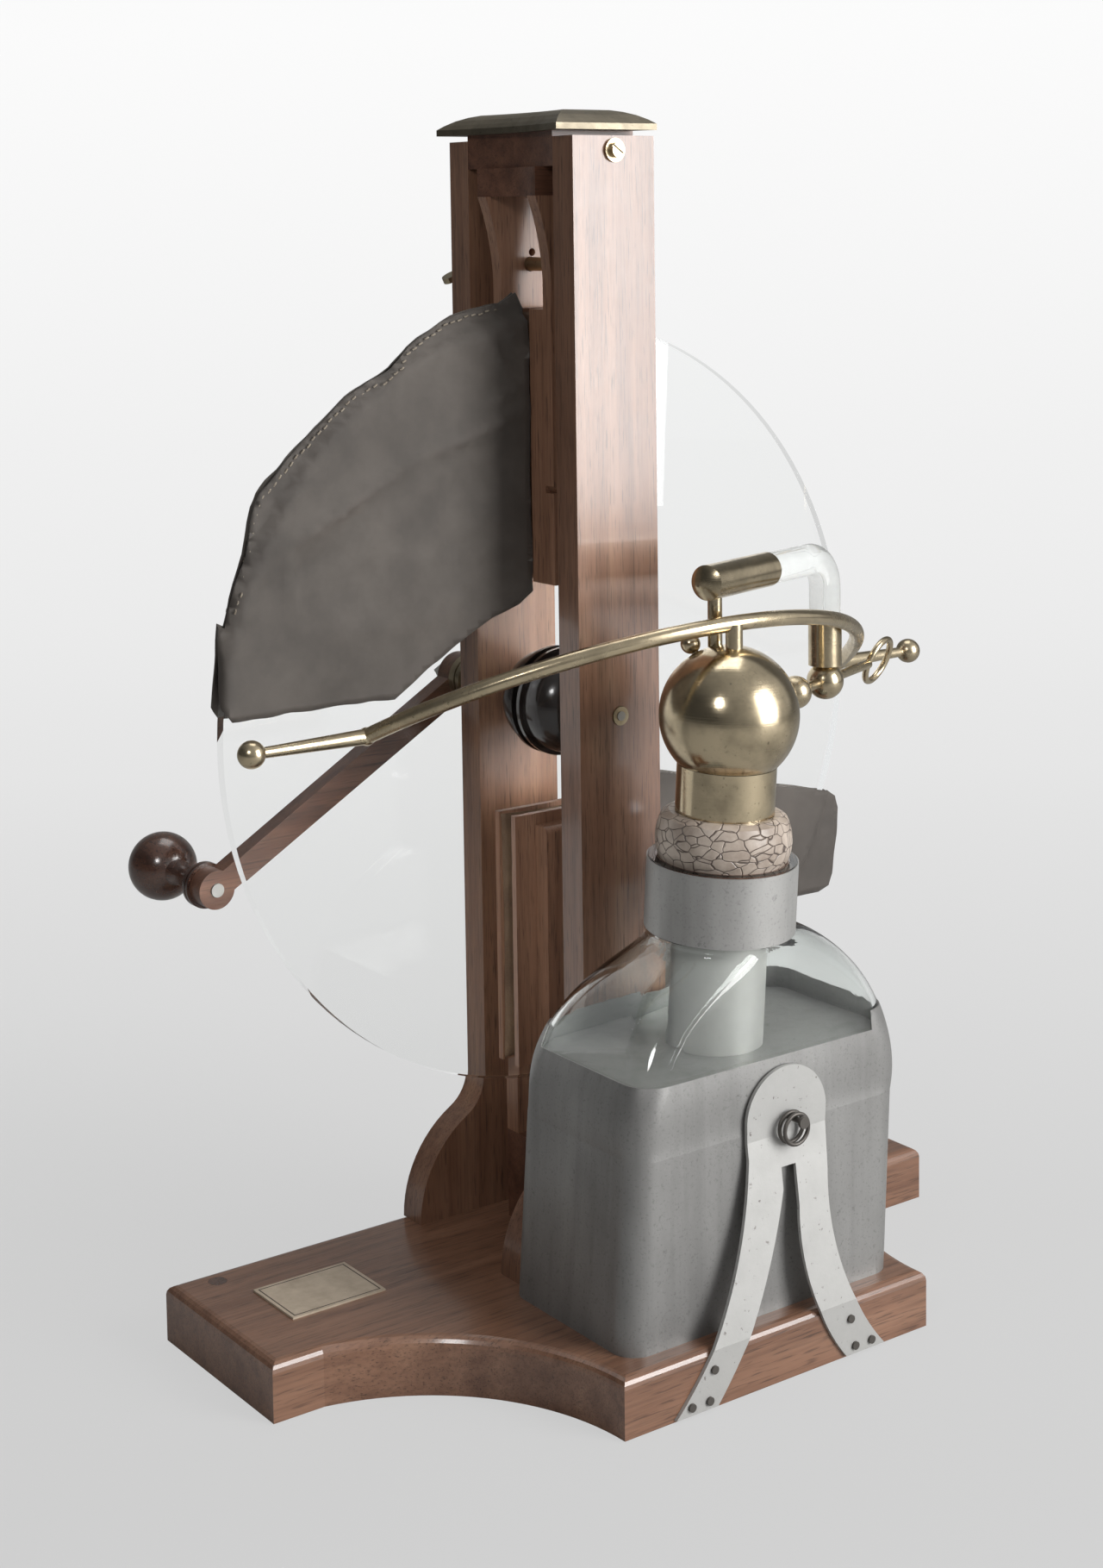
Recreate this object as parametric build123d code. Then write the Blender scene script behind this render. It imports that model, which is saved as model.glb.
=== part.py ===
from build123d import *
import os
from math import acos, asin, atan2, cos, degrees, hypot, pi, radians, sin, sqrt

# Glass-plate friction electrical machine with a bottle Leyden jar, a brass
# prime-conductor ball, a collecting bow and a discharging electrometer.
# Frame: X along the glass plate, +Y to the crank side, -Y to the jar side,
# Z up, origin on the underside of the base below the middle of the plate.
# Millimetres and degrees throughout.

# ---- Clearances ----------------------------------------------------------------------
seat_gap = 0.3          # soft or curved piece beside its neighbour
fit_gap = 0.1           # pieces pushed together and glued or pinned
run_gap = 0.05          # radial running clearance of a shaft in its bore

# ---- Glass plate, hubs and axle ------------------------------------------------------
plate_dia = 330.0
plate_thick = 5.0
axle_height = 257.0
axle_dia = 10.0
pivot_dia = 4.0         # reduced front end of the axle
hub_dia = 47.0
hub_flange = 2.0
hub_dome = 18.0         # height of the turned dome above its flange
hub_nose_dia = 17.0
hub_spigot_dia = 16.0   # hub boss inside the hole of the plate

# ---- Uprights, top block and cap -----------------------------------------------------
upright_gap = 62.0      # between the inner faces of the two uprights
upright_thick = 14.0
upright_width = 42.0
upright_above_axle = 242.0
foot_flare = 34.8       # how far the ogee foot spreads on each side
foot_rise = 60.0        # height of the ogee foot above the base
foot_cove_share = 0.26  # share of the ogee's radii that the upper cove takes
tenon_width = 26.0
tenon_thick = 8.0
tenon_depth = 12.0
block_height = 14.5
block_proud = 2.5       # top block stands above the uprights
scoop_depth = 4.0       # hollow of the block's and cap's long sides
cap_half_x = 26.0
cap_half_y = 44.0
cap_shift = -2.4        # cap sits a little off the middle, to -X
cap_scoop = 7.5
cap_edge = 2.6
cap_rise = 6.0

# ---- Base ----------------------------------------------------------------------------
base_thick = 24.0
base_half_depth = 46.0
base_front_left = 44.0
base_front_right = 39.5
base_reach_left = 173.0
base_reach_right = 180.0
base_round = 4.0
jar_arm_reach = 138.0
jar_arm_width = 160.0
jar_arm_middle = 7.0
cove_start_left = 150.0
cove_start_right = 158.0
cove_sag = 21.0
label_length = 44.0
label_depth = 33.0
label_thick = 0.8
label_x = -125.0
label_y = 1.5
plug_dia = 8.0
plug_depth = 12.0
plug_x = -154.0
plug_y = 36.0

# ---- Upper rubber and its fork -------------------------------------------------------
pad_thick = 2.4
pad_inset = 1.0
upper_board_thick = 10.0
upper_board_half = 15.5
upper_board_above_axle = 170.5
upper_board_height = 116.5
upper_step_height = 39.0
arm_thick = 6.0
fork_half = 23.0
fork_depth = 12.0
fork_waist_drop = 36.0
screw_dia = 6.0
screw_drop = 29.0       # tightening screw below the fork block
small_hole_dia = 3.4    # spare hole above the screw's in the rear arm
screw_collar_dia = 12.0
screw_collar_thick = 3.0
wing_half = 17.0
wing_depth = 14.0
wing_thick = 2.6
wing_turn = 26.0

# ---- Lower rubber and its fork -------------------------------------------------------
lower_board_thick = 3.0
lower_board_half = 29.0
lower_board_below_axle = 46.0
lower_board_height = 110.0
lower_arm_thick = 8.4
lower_arm_half = 18.5
lower_arm_drop = 5.0    # arms end below the boards' tops
lower_block_height = 40.0

# ---- Silk flaps ----------------------------------------------------------------------
silk_thick = 1.4
silk_stand_off = 4.4    # from the middle of the plate to the inner silk face
silk_rim = 12.0         # sewn margin beyond the edge of the plate
seam_width = 8.0
flap_drop = 12.5        # upper flap's lower edge above the axle
fold_width = 9.0
fold_height = 1.6

# ---- Crank ---------------------------------------------------------------------------
crank_radius = 152.0
crank_angle = 210.5     # seen from the jar side, from +X towards +Z
crank_front = 70.5
crank_thick = 9.0
crank_root_height = 12.0
crank_tip_height = 10.5
crank_eye_dia = 17.0
crank_hub_dia = 21.5
crank_hub_length = 14.0
crank_boss_dia = 15.0
crank_nut_flats = 13.0
crank_nut_height = 6.0
spindle_dia = 6.0
collar_dia = 20.0
collar_thick = 4.0
knob_dia = 30.5
knob_length = 53.0
knob_neck_dia = 12.0
knob_base_dia = 17.0

# ---- Bushes and frame screws ---------------------------------------------------------
front_bush_dia = 8.0
rear_bush_dia = 16.0
bush_flange = 1.5
bush_flange_wide = 4.0
frame_screw_dia = 4.0
frame_screw_head = 6.4
frame_washer_dia = 9.8
frame_screw_drop = 8.5

# ---- Leyden jar ----------------------------------------------------------------------
jar_x = 8.0
jar_behind_front = 10.5 # bare strip of the base before the jar
jar_width = 140.0
jar_depth = 80.0
jar_corner = 10.0
jar_wall = 3.0
jar_floor = 4.0
jar_straight = 76.0     # height of the straight body
shoulder_height = 75.5  # from the straight body to the neck
filling_drop = 1.5      # filling's top below the foil's edge
filling_skin = 0.8
foil_back_rise = 8.0    # the foil reaches higher at the back and right
foil_thick = 0.5
foil_rise = 104.5       # height of the foil coat on the bottle
jar_skew = 0.063        # sideways lean of the blown body, mm per mm of height
neck_dia = 61.0
neck_length = 30.0
bung_length = 20.0
wax_height = 19.0
wax_dia = 56.0
ferrule_dia = 40.8
ferrule_wall = 1.2
stem_wall = 1.2
stem_bottom = 60.0
foot_disc_dia = 46.0
foot_disc_thick = 3.0
stem_rod_dia = 5.0

# ---- Prime conductor ball, bow and collectors ----------------------------------------
ball_dia = 57.2
ball_wall = 2.0
ball_x = 13.4
ball_behind_front = 38.0
ball_above_axle = 7.3
bow_dia = 6.6
bow_middle_x = 18.0
bow_half_chord = 128.0
bow_plan_depth = 81.5
bow_rise = 42.7
collector_y = -21.0
collector_above_axle = 2.3
collector_left = -162.5
collector_right = 190.7
collector_tip_dia = 4.2
collector_ball_dia = 11.3
joint_ball_dia = 7.6
stub_dia = 7.0
stub_back = 3.5         # stub behind or before the ball's axis
terminal_dia = 8.2
terminal_stem_dia = 3.0
terminal_tilt = 31.0
terminal_bearing = 117.0

# ---- Electrometer --------------------------------------------------------------------
post_dia = 6.0
post_back = 8.5         # post behind the ball's axis
arm_above_ball = 53.7
arm_bearing = 17.1
arm_reach = 87.4
sleeve_dia = 14.6
sleeve_length = 46.0
sleeve_tail = 6.0       # sleeve behind the post's axis
sleeve_cap = 2.2        # swell of its closed end
glass_rod_dia = 13.6
glass_socket = 28.0
glass_bend = 14.0
arm_ferrule_length = 19.0
arm_ball_dia = 16.2
rod_below_ball = 1.3
rod_dia = 4.2
gap_ball_dia = 14.2
gap_ball_from_ball = 60.7
finger_ring_from_ball = 146.0
finger_ring_dia = 24.0
finger_ring_wire = 3.0
finger_ring_roll = 22.0

# ---- Bracket, nails and link rings ---------------------------------------------------
bracket_thick = 1.6
bracket_middle = 18.0
bracket_half = 21.5
bracket_top = 125.5
bracket_fork = 85.0     # height where the legs part
bracket_bend = 98.0     # the strap leans out below this height
bracket_slot = 6.0
left_foot = -38.4
right_foot = 50.8
foot_width = 21.0
nail_dia = 1.6
nail_length = 8.0
nail_head_dia = 3.4
nail_head_thick = 1.0
pin_dia = 2.4
pin_reach = 9.0
pin_height = 104.6
ring_mean_dia = 12.4
ring_wire = 1.7
ring_pitch = 3.2

# ---- Places worked out from the sizes above ------------------------------------------
face = plate_thick / 2
upright_top = axle_height + upright_above_axle
upper_board_top = axle_height + upper_board_above_axle
lower_board_top = axle_height - lower_board_below_axle
lower_arm_top = lower_board_top - lower_arm_drop
lower_block_top = base_thick + lower_block_height
ball_height = axle_height + ball_above_axle
ball_y = ball_behind_front - jar_arm_reach
collector_height = axle_height + collector_above_axle
arm_height = ball_height + arm_above_ball
rod_height = ball_height - rod_below_ball
jar_y = jar_behind_front + jar_depth / 2 + foil_thick - jar_arm_reach
upright_in = upright_gap / 2
upright_out = upright_in + upright_thick
block_top = upright_top + block_proud
block_bottom = block_top - block_height
fork_bottom = block_bottom - fork_depth
pad_in = face + seat_gap
board_in = pad_in + pad_thick
upper_arm_in = board_in + upper_board_thick
lower_arm_in = board_in + lower_board_thick
upper_board_bottom = upper_board_top - upper_board_height
lower_board_bottom = lower_board_top - lower_board_height
plate_r = plate_dia / 2
silk_r = plate_r + silk_rim
screw_height = fork_bottom - screw_drop
jar_foot = base_thick + foil_thick
neck_start = jar_foot + jar_straight + shoulder_height
neck_top = neck_start + neck_length
foil_top = jar_foot + foil_rise
ball_r = ball_dia / 2
ball_at = Vector(ball_x, ball_y, ball_height)
stem_dia = ferrule_dia - 2 * ferrule_wall - 2 * fit_gap
post_at = (ball_at.X, ball_at.Y + post_back)
stub_at = (ball_at.X, ball_at.Y - stub_back)
arm_end = (
    post_at[0] + arm_reach * cos(radians(arm_bearing)),
    post_at[1] + arm_reach * sin(radians(arm_bearing)),
)
rod_bearing = degrees(atan2(arm_end[1] - ball_at.Y, arm_end[0] - ball_at.X))
jar_front = jar_y - jar_depth / 2 - foil_thick
hub_end = face + hub_flange + hub_dome
crank_end = (crank_radius * cos(radians(crank_angle)),
             axle_height + crank_radius * sin(radians(crank_angle)))


# ---- Small helpers -------------------------------------------------------------------
def block(x0, x1, y0, y1, z0, z1):
    """A box between two corners, in any order."""
    size = (abs(x1 - x0), abs(y1 - y0), abs(z1 - z0))
    return Pos((x0 + x1) / 2, (y0 + y1) / 2, (z0 + z1) / 2) * Box(*size)


def rod_z(dia, z0, z1, x=0.0, y=0.0):
    """An upright cylinder between two heights."""
    return Pos(x, y, (z0 + z1) / 2) * Cylinder(dia / 2, abs(z1 - z0))


def rod_y(dia, y0, y1, x=0.0, z=axle_height):
    """A cylinder along Y between two places."""
    return Pos(x, (y0 + y1) / 2, z) * Rot(90, 0, 0) * Cylinder(dia / 2, abs(y1 - y0))


def rod_x(dia, x0, x1, y=0.0, z=0.0):
    """A cylinder along X between two places."""
    return Pos((x0 + x1) / 2, y, z) * Rot(0, 90, 0) * Cylinder(dia / 2, abs(x1 - x0))


def turned(points, place):
    """A solid of revolution: (radius, height) corners turned about Z, then placed."""
    profile = Polyline(*[(r, 0, h) for r, h in points], close=True)
    return place * revolve(make_face(profile), Axis.Z)


def facing(side):
    """Turns +Z to point along +Y (side 1) or -Y (side -1), at the axle's height."""
    return Pos(0, 0, axle_height) * Rot(-90 * side, 0, 0)


def front_plate(outline, y0, y1):
    """Extrudes an outline drawn in X and Z from one Y to another."""
    low, high = min(y0, y1), max(y0, y1)
    flat = Plane(origin=(0, high, 0), x_dir=(1, 0, 0), z_dir=(0, -1, 0))
    return extrude(flat * outline, high - low)


def both_sides(y0, y1, side):
    """Two Y values for the jar side (-1) or the crank side (1)."""
    return side * y0, side * y1


# ---- Base and frame ------------------------------------------------------------------
def cove(start, end, sag):
    """A hollow arc between two plan points, bowed to the right of start to end."""
    middle = ((start[0] + end[0]) / 2, (start[1] + end[1]) / 2)
    run = (end[0] - start[0], end[1] - start[1])
    span = hypot(*run)
    dip = (middle[0] + run[1] / span * sag, middle[1] - run[0] / span * sag)
    return ThreePointArc(start, dip, end)


def tenon_box(side, grow):
    """The tenon of one upright, or its mortise when grown by the fit gap."""
    middle = side * (upright_in + upright_thick / 2)
    half_w = tenon_width / 2 + grow
    half_t = tenon_thick / 2 + grow
    return block(-half_w, half_w, middle - half_t, middle + half_t,
                 base_thick - tenon_depth - grow, base_thick)


def base():
    """T-shaped board with hollow corners and a rounded upper edge."""
    jar_left = jar_arm_middle - jar_arm_width / 2
    jar_right = jar_arm_middle + jar_arm_width / 2
    back, left, right = base_half_depth, -base_reach_left, base_reach_right
    front_l, front_r = -base_front_left, -base_front_right
    left_cove = cove((-cove_start_left, front_l), (jar_left, -jar_arm_reach), -cove_sag)
    right_cove = cove((jar_right, -jar_arm_reach), (cove_start_right, front_r), -cove_sag)
    rim = [
        Line((left, back), (left, front_l)),
        Line((left, front_l), (-cove_start_left, front_l)),
        left_cove,
        Line((jar_left, -jar_arm_reach), (jar_right, -jar_arm_reach)),
        right_cove,
        Line((cove_start_right, front_r), (right, front_r)),
        Line((right, front_r), (right, back)),
        Line((right, back), (left, back)),
    ]
    outline = make_face(rim)
    board = extrude(outline, base_thick - base_round)
    rings = []
    for step in range(5):
        turn = radians(90 / 4 * step)
        inset, lift = base_round * (1 - cos(turn)), base_round * sin(turn)
        ring = offset(outline, -inset, kind=Kind.INTERSECTION) if step else outline
        rings.append(Pos(0, 0, base_thick - base_round + lift) * ring)
    board += loft(rings, ruled=True)
    for side in (-1, 1):
        board -= tenon_box(side, fit_gap)
    board -= rod_z(plug_dia, base_thick - plug_depth, base_thick, plug_x, plug_y)
    for x, z in nail_places():
        board -= rod_y(nail_dia + 2 * fit_gap, -jar_arm_reach,
                       -jar_arm_reach + nail_length, x, z)
    return board


def dowel_plug():
    """Wooden plug let into the left arm of the base."""
    return rod_z(plug_dia - 2 * fit_gap, base_thick - plug_depth, base_thick, plug_x, plug_y)


def label_plate():
    """Bare label panel on the left arm of the base."""
    return block(label_x - label_length / 2, label_x + label_length / 2,
                 label_y - label_depth / 2, label_y + label_depth / 2,
                 base_thick, base_thick + label_thick)


def ogee(side):
    """Cove and round of the foot on one side, from the board's edge to the base."""
    turn = 2 * atan2(foot_flare, foot_rise)
    both = foot_rise / sin(turn)
    cove_r = both * foot_cove_share
    round_r = both - cove_r
    edge = upright_width / 2
    top = base_thick + foot_rise

    def on_cove(angle):
        return (side * (edge + cove_r * (1 - cos(angle))), top - cove_r * sin(angle))

    def on_round(angle):
        return (side * (edge + foot_flare - round_r * (1 - cos(angle))),
                base_thick + round_r * sin(angle))

    upper = ThreePointArc(on_cove(0), on_cove(turn / 2), on_cove(turn))
    lower = ThreePointArc(on_cove(turn), on_round(turn / 2), on_round(0))
    return upper, lower


def upright(side):
    """One upright with its ogee foot, tenon and bores: -1 jar side, 1 crank side."""
    half = upright_width / 2
    spread = half + foot_flare
    left = ogee(-1)
    right = ogee(1)
    outline = make_face([
        Line((-half, upright_top), (-half, base_thick + foot_rise)), *left,
        Line((-spread, base_thick), (spread, base_thick)), *right,
        Line((half, base_thick + foot_rise), (half, upright_top)),
        Line((half, upright_top), (-half, upright_top)),
    ])
    board = front_plate(outline, side * upright_in, side * upright_out)
    board += tenon_box(side, 0)
    bush = front_bush_dia if side < 0 else rear_bush_dia
    board -= rod_y(bush + 2 * fit_gap, *both_sides(upright_in, upright_out, side))
    board -= rod_y(frame_screw_dia + 2 * fit_gap, *both_sides(upright_in, upright_out, side),
                   0, block_top - frame_screw_drop)
    if side > 0:
        board -= rod_y(screw_dia + 2, upright_in, upright_out, 0, screw_height)
    return board


def scooped(half_x, half_y, hollow):
    """Plan outline with straight ends and hollowed long sides."""
    left = ThreePointArc((-half_x, half_y), (-half_x + hollow, 0), (-half_x, -half_y))
    right = ThreePointArc((half_x, -half_y), (half_x - hollow, 0), (half_x, half_y))
    return make_face([left, Line((-half_x, -half_y), (half_x, -half_y)), right,
                      Line((half_x, half_y), (-half_x, half_y))])


def top_block():
    """Block that joins the heads of the uprights."""
    body = Pos(0, 0, block_bottom) * extrude(
        scooped(upright_width / 2, upright_in, scoop_depth), block_height)
    for side in (-1, 1):
        body -= rod_y(frame_screw_dia + 2 * fit_gap, *both_sides(upright_in - 16, upright_in, side),
                      0, block_top - frame_screw_drop)
    return body


def cap_plate():
    """Polished cap with thin edges, hollow long sides and a low crown."""
    rings = []
    for inset, lift in ((0.0, cap_edge), (2.5, cap_edge + 0.30 * cap_rise),
                        (6.0, cap_edge + 0.62 * cap_rise), (10.0, cap_edge + 0.86 * cap_rise),
                        (14.0, cap_edge + cap_rise)):
        hollow = cap_scoop * (1 - inset / cap_half_x)
        rings.append(Pos(0, 0, lift) * scooped(cap_half_x - inset, cap_half_y - inset, hollow))
    slab = extrude(scooped(cap_half_x, cap_half_y, cap_scoop), cap_edge)
    return Pos(cap_shift, 0, block_top) * (slab + loft(rings, ruled=True))


def frame_screw(side):
    """Slotted screw through an upright into the top block."""
    z = block_top - frame_screw_drop
    seat = upright_out + 1.2
    shank = rod_y(frame_screw_dia, *both_sides(upright_in - 14, seat, side), 0, z)
    head = rod_y(frame_screw_head, *both_sides(seat, seat + 2.4, side), 0, z)
    slot = Pos(0, side * (seat + 2.4), z) * Rot(0, 35, 0) * Box(frame_screw_head + 1, 1.6, 1.0)
    return shank + head - slot


def frame_washer(side):
    """Dished washer under a frame screw."""
    z = block_top - frame_screw_drop
    disc = rod_y(frame_washer_dia, *both_sides(upright_out, upright_out + 1.2, side), 0, z)
    return disc - rod_y(frame_screw_dia + 2 * fit_gap,
                        *both_sides(upright_out, upright_out + 1.2, side), 0, z)


# ---- Plate, axle and crank -----------------------------------------------------------
def glass_plate():
    """The glass plate with its central hole."""
    disc = rod_y(plate_dia, -face, face)
    return disc - rod_y(hub_spigot_dia + 2 * fit_gap, -face, face)


def hub(side):
    """Turned dome that clamps the plate, with its flange and spigot."""
    r, nose = hub_dia / 2, hub_nose_dia / 2
    bore = axle_dia / 2 + fit_gap
    flange = Line((r, 0, face), (r, 0, face + hub_flange))
    shoulder = Line((r, 0, face + hub_flange), (r - 2, 0, face + hub_flange))
    dome_mid = (nose + (r - nose) * 0.70, 0, face + hub_flange + hub_dome * 0.62)
    dome = ThreePointArc((r - 2, 0, face + hub_flange), dome_mid, (nose, 0, hub_end))
    rest = Polyline((nose, 0, hub_end), (bore, 0, hub_end), (bore, 0, fit_gap / 2),
                    (hub_spigot_dia / 2, 0, fit_gap / 2), (hub_spigot_dia / 2, 0, face), (r, 0, face))
    return facing(side) * revolve(make_face([flange, shoulder, dome, rest]), Axis.Z)


def axle():
    """Steel axle: slim pivot in front, full size behind, square under the crank nut."""
    tail = crank_front + crank_thick + crank_nut_height + 1.0
    shaft = rod_y(axle_dia, -hub_end, tail)
    pivot = rod_y(pivot_dia, -(upright_out + 1.0), -hub_end)
    return shaft + pivot


def front_bush():
    """Brass bush of the pivot, flanged inside the upright."""
    sleeve = rod_y(front_bush_dia, -upright_out - 0.6, -upright_in)
    flange = rod_y(front_bush_dia + bush_flange_wide, -upright_in, -upright_in + bush_flange)
    return sleeve + flange - rod_y(pivot_dia + 2 * run_gap, -upright_out - 1, -upright_in + bush_flange)


def rear_bush():
    """Brass bush of the axle, flanged on the outer face of the upright."""
    sleeve = rod_y(rear_bush_dia, upright_in, upright_out)
    flange = rod_y(rear_bush_dia + bush_flange_wide, upright_out, upright_out + bush_flange)
    return sleeve + flange - rod_y(axle_dia + 2 * run_gap, upright_in, upright_out + bush_flange)


def along_crank(shape):
    """Places a shape drawn from the axle along +X at the crank's angle."""
    return Pos(0, 0, axle_height) * Rot(0, -crank_angle, 0) * shape


def crank_arm():
    """Tapered flat arm with a round root and a round eye for the knob's spindle."""
    y0, y1 = crank_front, crank_front + crank_thick
    root = Pos(0, (y0 + y1) / 2, 0) * Rot(90, 0, 0) * Cylinder(crank_hub_dia / 2, crank_thick)
    eye = Pos(crank_radius, (y0 + y1) / 2, 0) * Rot(90, 0, 0) * Cylinder(
        crank_eye_dia / 2, crank_thick)
    half_a, half_b = crank_root_height / 2, crank_tip_height / 2
    bar = front_plate(make_face(Polyline(
        (0, -half_a), (crank_radius, -half_b), (crank_radius, half_b), (0, half_a),
        close=True)), y0, y1)
    body = along_crank(root + bar + eye)
    body -= rod_y(axle_dia + 2 * fit_gap, y0, y1)
    return body - rod_y(spindle_dia + 2 * fit_gap, y0, y1, *crank_end)


def crank_hub():
    """Stepped brass boss between the rear upright and the crank arm."""
    start = crank_front - crank_hub_length
    boss = rod_y(crank_boss_dia, start, crank_front - 8)
    ring = rod_y(crank_hub_dia, crank_front - 8, crank_front)
    groove = rod_y(crank_hub_dia + 2, crank_front - 5, crank_front - 4)
    groove -= rod_y(crank_hub_dia - 2, crank_front - 5, crank_front - 4)
    return boss + ring - groove - rod_y(axle_dia + 2 * fit_gap, start, crank_front)


def crank_nut():
    """Square nut on the end of the axle."""
    y0 = crank_front + crank_thick
    y1 = y0 + crank_nut_height
    nut = along_crank(block(-crank_nut_flats / 2, crank_nut_flats / 2, y0, y1,
                            -crank_nut_flats / 2, crank_nut_flats / 2))
    return nut - rod_y(axle_dia + 2 * fit_gap, y0, y1)


def knob_spindle():
    """Riveted spindle on which the knob turns."""
    y0 = crank_front - 0.8
    y1 = crank_front + crank_thick + collar_thick + knob_length + 0.6
    pin = rod_y(spindle_dia, y0, y1, *crank_end)
    return pin + rod_y(spindle_dia + 3, y1, y1 + 1.2, *crank_end)


def knob_collar():
    """Grooved washer between the crank's eye and the knob."""
    y0 = crank_front + crank_thick
    y1 = y0 + collar_thick
    disc = rod_y(collar_dia, y0, y1, *crank_end)
    groove = rod_y(collar_dia + 2, y0 + 1.5, y0 + 2.3, *crank_end)
    groove -= rod_y(collar_dia - 1.6, y0 + 1.5, y0 + 2.3, *crank_end)
    return disc - groove - rod_y(spindle_dia + 2 * fit_gap, y0, y1, *crank_end)


def crank_knob():
    """Turned wooden knob: small foot, neck and round head with a turned line."""
    start = crank_front + crank_thick + collar_thick + seat_gap
    bore = spindle_dia / 2 + run_gap
    r = knob_dia / 2
    middle = knob_length - r
    neck = knob_neck_dia / 2
    foot = knob_base_dia / 2
    neck_h = 9.0

    def on_head(angle, dip=0.0):
        return ((r - dip) * cos(radians(angle)), 0, middle + (r - dip) * sin(radians(angle)))

    low = -degrees(acos(neck / r))
    tip = degrees(acos((bore + 2.2) / r))
    join = on_head(low)
    profile = make_face([
        Line((bore, 0, 0), (foot, 0, 0)),
        Line((foot, 0, 0), (foot, 0, 3.0)),
        ThreePointArc((foot, 0, 3.0), (neck - 0.2, 0, neck_h), join),
        ThreePointArc(join, on_head((low + 27) / 2), on_head(27)),
        Line(on_head(27), on_head(29.5, 0.6)),
        Line(on_head(29.5, 0.6), on_head(32)),
        ThreePointArc(on_head(32), on_head((32 + tip) / 2), on_head(tip)),
        Polyline(on_head(tip), (bore, 0, on_head(tip)[2]), (bore, 0, 0)),
    ])
    body = revolve(profile, Axis.Z)
    return Pos(crank_end[0], start, crank_end[1]) * Rot(-90, 0, 0) * body


# ---- Rubbers -------------------------------------------------------------------------
def fork_block():
    """Block under the top block that carries the fork's two arms."""
    body = Pos(0, 0, fork_bottom) * extrude(
        scooped(fork_half, upper_arm_in + arm_thick, scoop_depth), fork_depth)
    return body


def fork_arm(side):
    """Waisted spring board from the fork block down the back of the rubber."""
    end = upper_board_bottom + upper_step_height + fit_gap
    waist = fork_bottom - fork_waist_drop
    mid = (upper_board_half + (fork_half - upper_board_half) * 0.42,
           fork_bottom - fork_waist_drop * 0.38)
    low = upper_board_half
    outline = make_face([
        Line((fork_half, fork_bottom), (-fork_half, fork_bottom)),
        ThreePointArc((-fork_half, fork_bottom), (-mid[0], mid[1]), (-low, waist)),
        Line((-low, waist), (-low, end + 3)),
        Line((-low, end + 3), (-low + 3, end)),
        Line((-low + 3, end), (low - 3, end)),
        Line((low - 3, end), (low, end + 3)),
        Line((low, end + 3), (low, waist)),
        ThreePointArc((low, waist), (mid[0], mid[1]), (fork_half, fork_bottom)),
    ])
    board = front_plate(outline, *both_sides(upper_arm_in, upper_arm_in + arm_thick, side))
    board -= rod_y(screw_dia + 4 * fit_gap, *both_sides(
        upper_arm_in, upper_arm_in + arm_thick, side), 0, screw_height)
    if side > 0:
        board -= rod_y(small_hole_dia, upper_arm_in, upper_arm_in + arm_thick,
                       1.0, screw_height + screw_dia / 2 + small_hole_dia / 2 + 0.4)
    return board


def upper_board(side):
    """Wooden back of an upper rubber, stepped to take the end of the fork arm."""
    y0, y1 = both_sides(board_in, upper_arm_in, side)
    slab = block(-upper_board_half, upper_board_half, y0, y1, upper_board_bottom, upper_board_top)
    heel = block(-upper_board_half, upper_board_half, y1, side * (upper_arm_in + arm_thick),
                 upper_board_bottom, upper_board_bottom + upper_step_height)
    return slab + heel


def pad(half_x, z0, z1, side):
    """Crowned leather pad on the glass side of a rubber."""
    middle = (z0 + z1) / 2
    width, height = 2 * (half_x - pad_inset), z1 - z0 - 2 * pad_inset
    rings = []
    for share, inset in ((0.0, 0.0), (0.35, 0.0), (0.8, 1.6), (1.0, 4.0)):
        y = side * (board_in + (pad_in - board_in) * share)
        flat = Plane(origin=(0, y, middle), x_dir=(1, 0, 0), z_dir=(0, -side, 0))
        rings.append(flat * Rectangle(width - 2 * inset, height - 2 * inset))
    return loft(rings, ruled=True)


def lower_block():
    """Block on the base that carries the lower rubber's arms."""
    half_y = lower_arm_in + lower_arm_thick
    return block(-lower_arm_half, lower_arm_half, -half_y, half_y, base_thick, lower_block_top)


def lower_arm(side):
    """Upright arm behind a lower rubber."""
    y0, y1 = both_sides(lower_arm_in, lower_arm_in + lower_arm_thick, side)
    arm = block(-lower_arm_half, lower_arm_half, y0, y1, lower_block_top, lower_arm_top)
    outer = arm.faces().sort_by(Axis.Y)[-1 if side > 0 else 0]
    top_edge = outer.edges().sort_by(Axis.Z)[-1]
    return fillet(top_edge, 3.0)


def lower_board(side):
    """Wide thin back of a lower rubber."""
    y0, y1 = both_sides(board_in, lower_arm_in, side)
    return block(-lower_board_half, lower_board_half, y0, y1, lower_board_bottom, lower_board_top)


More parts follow.
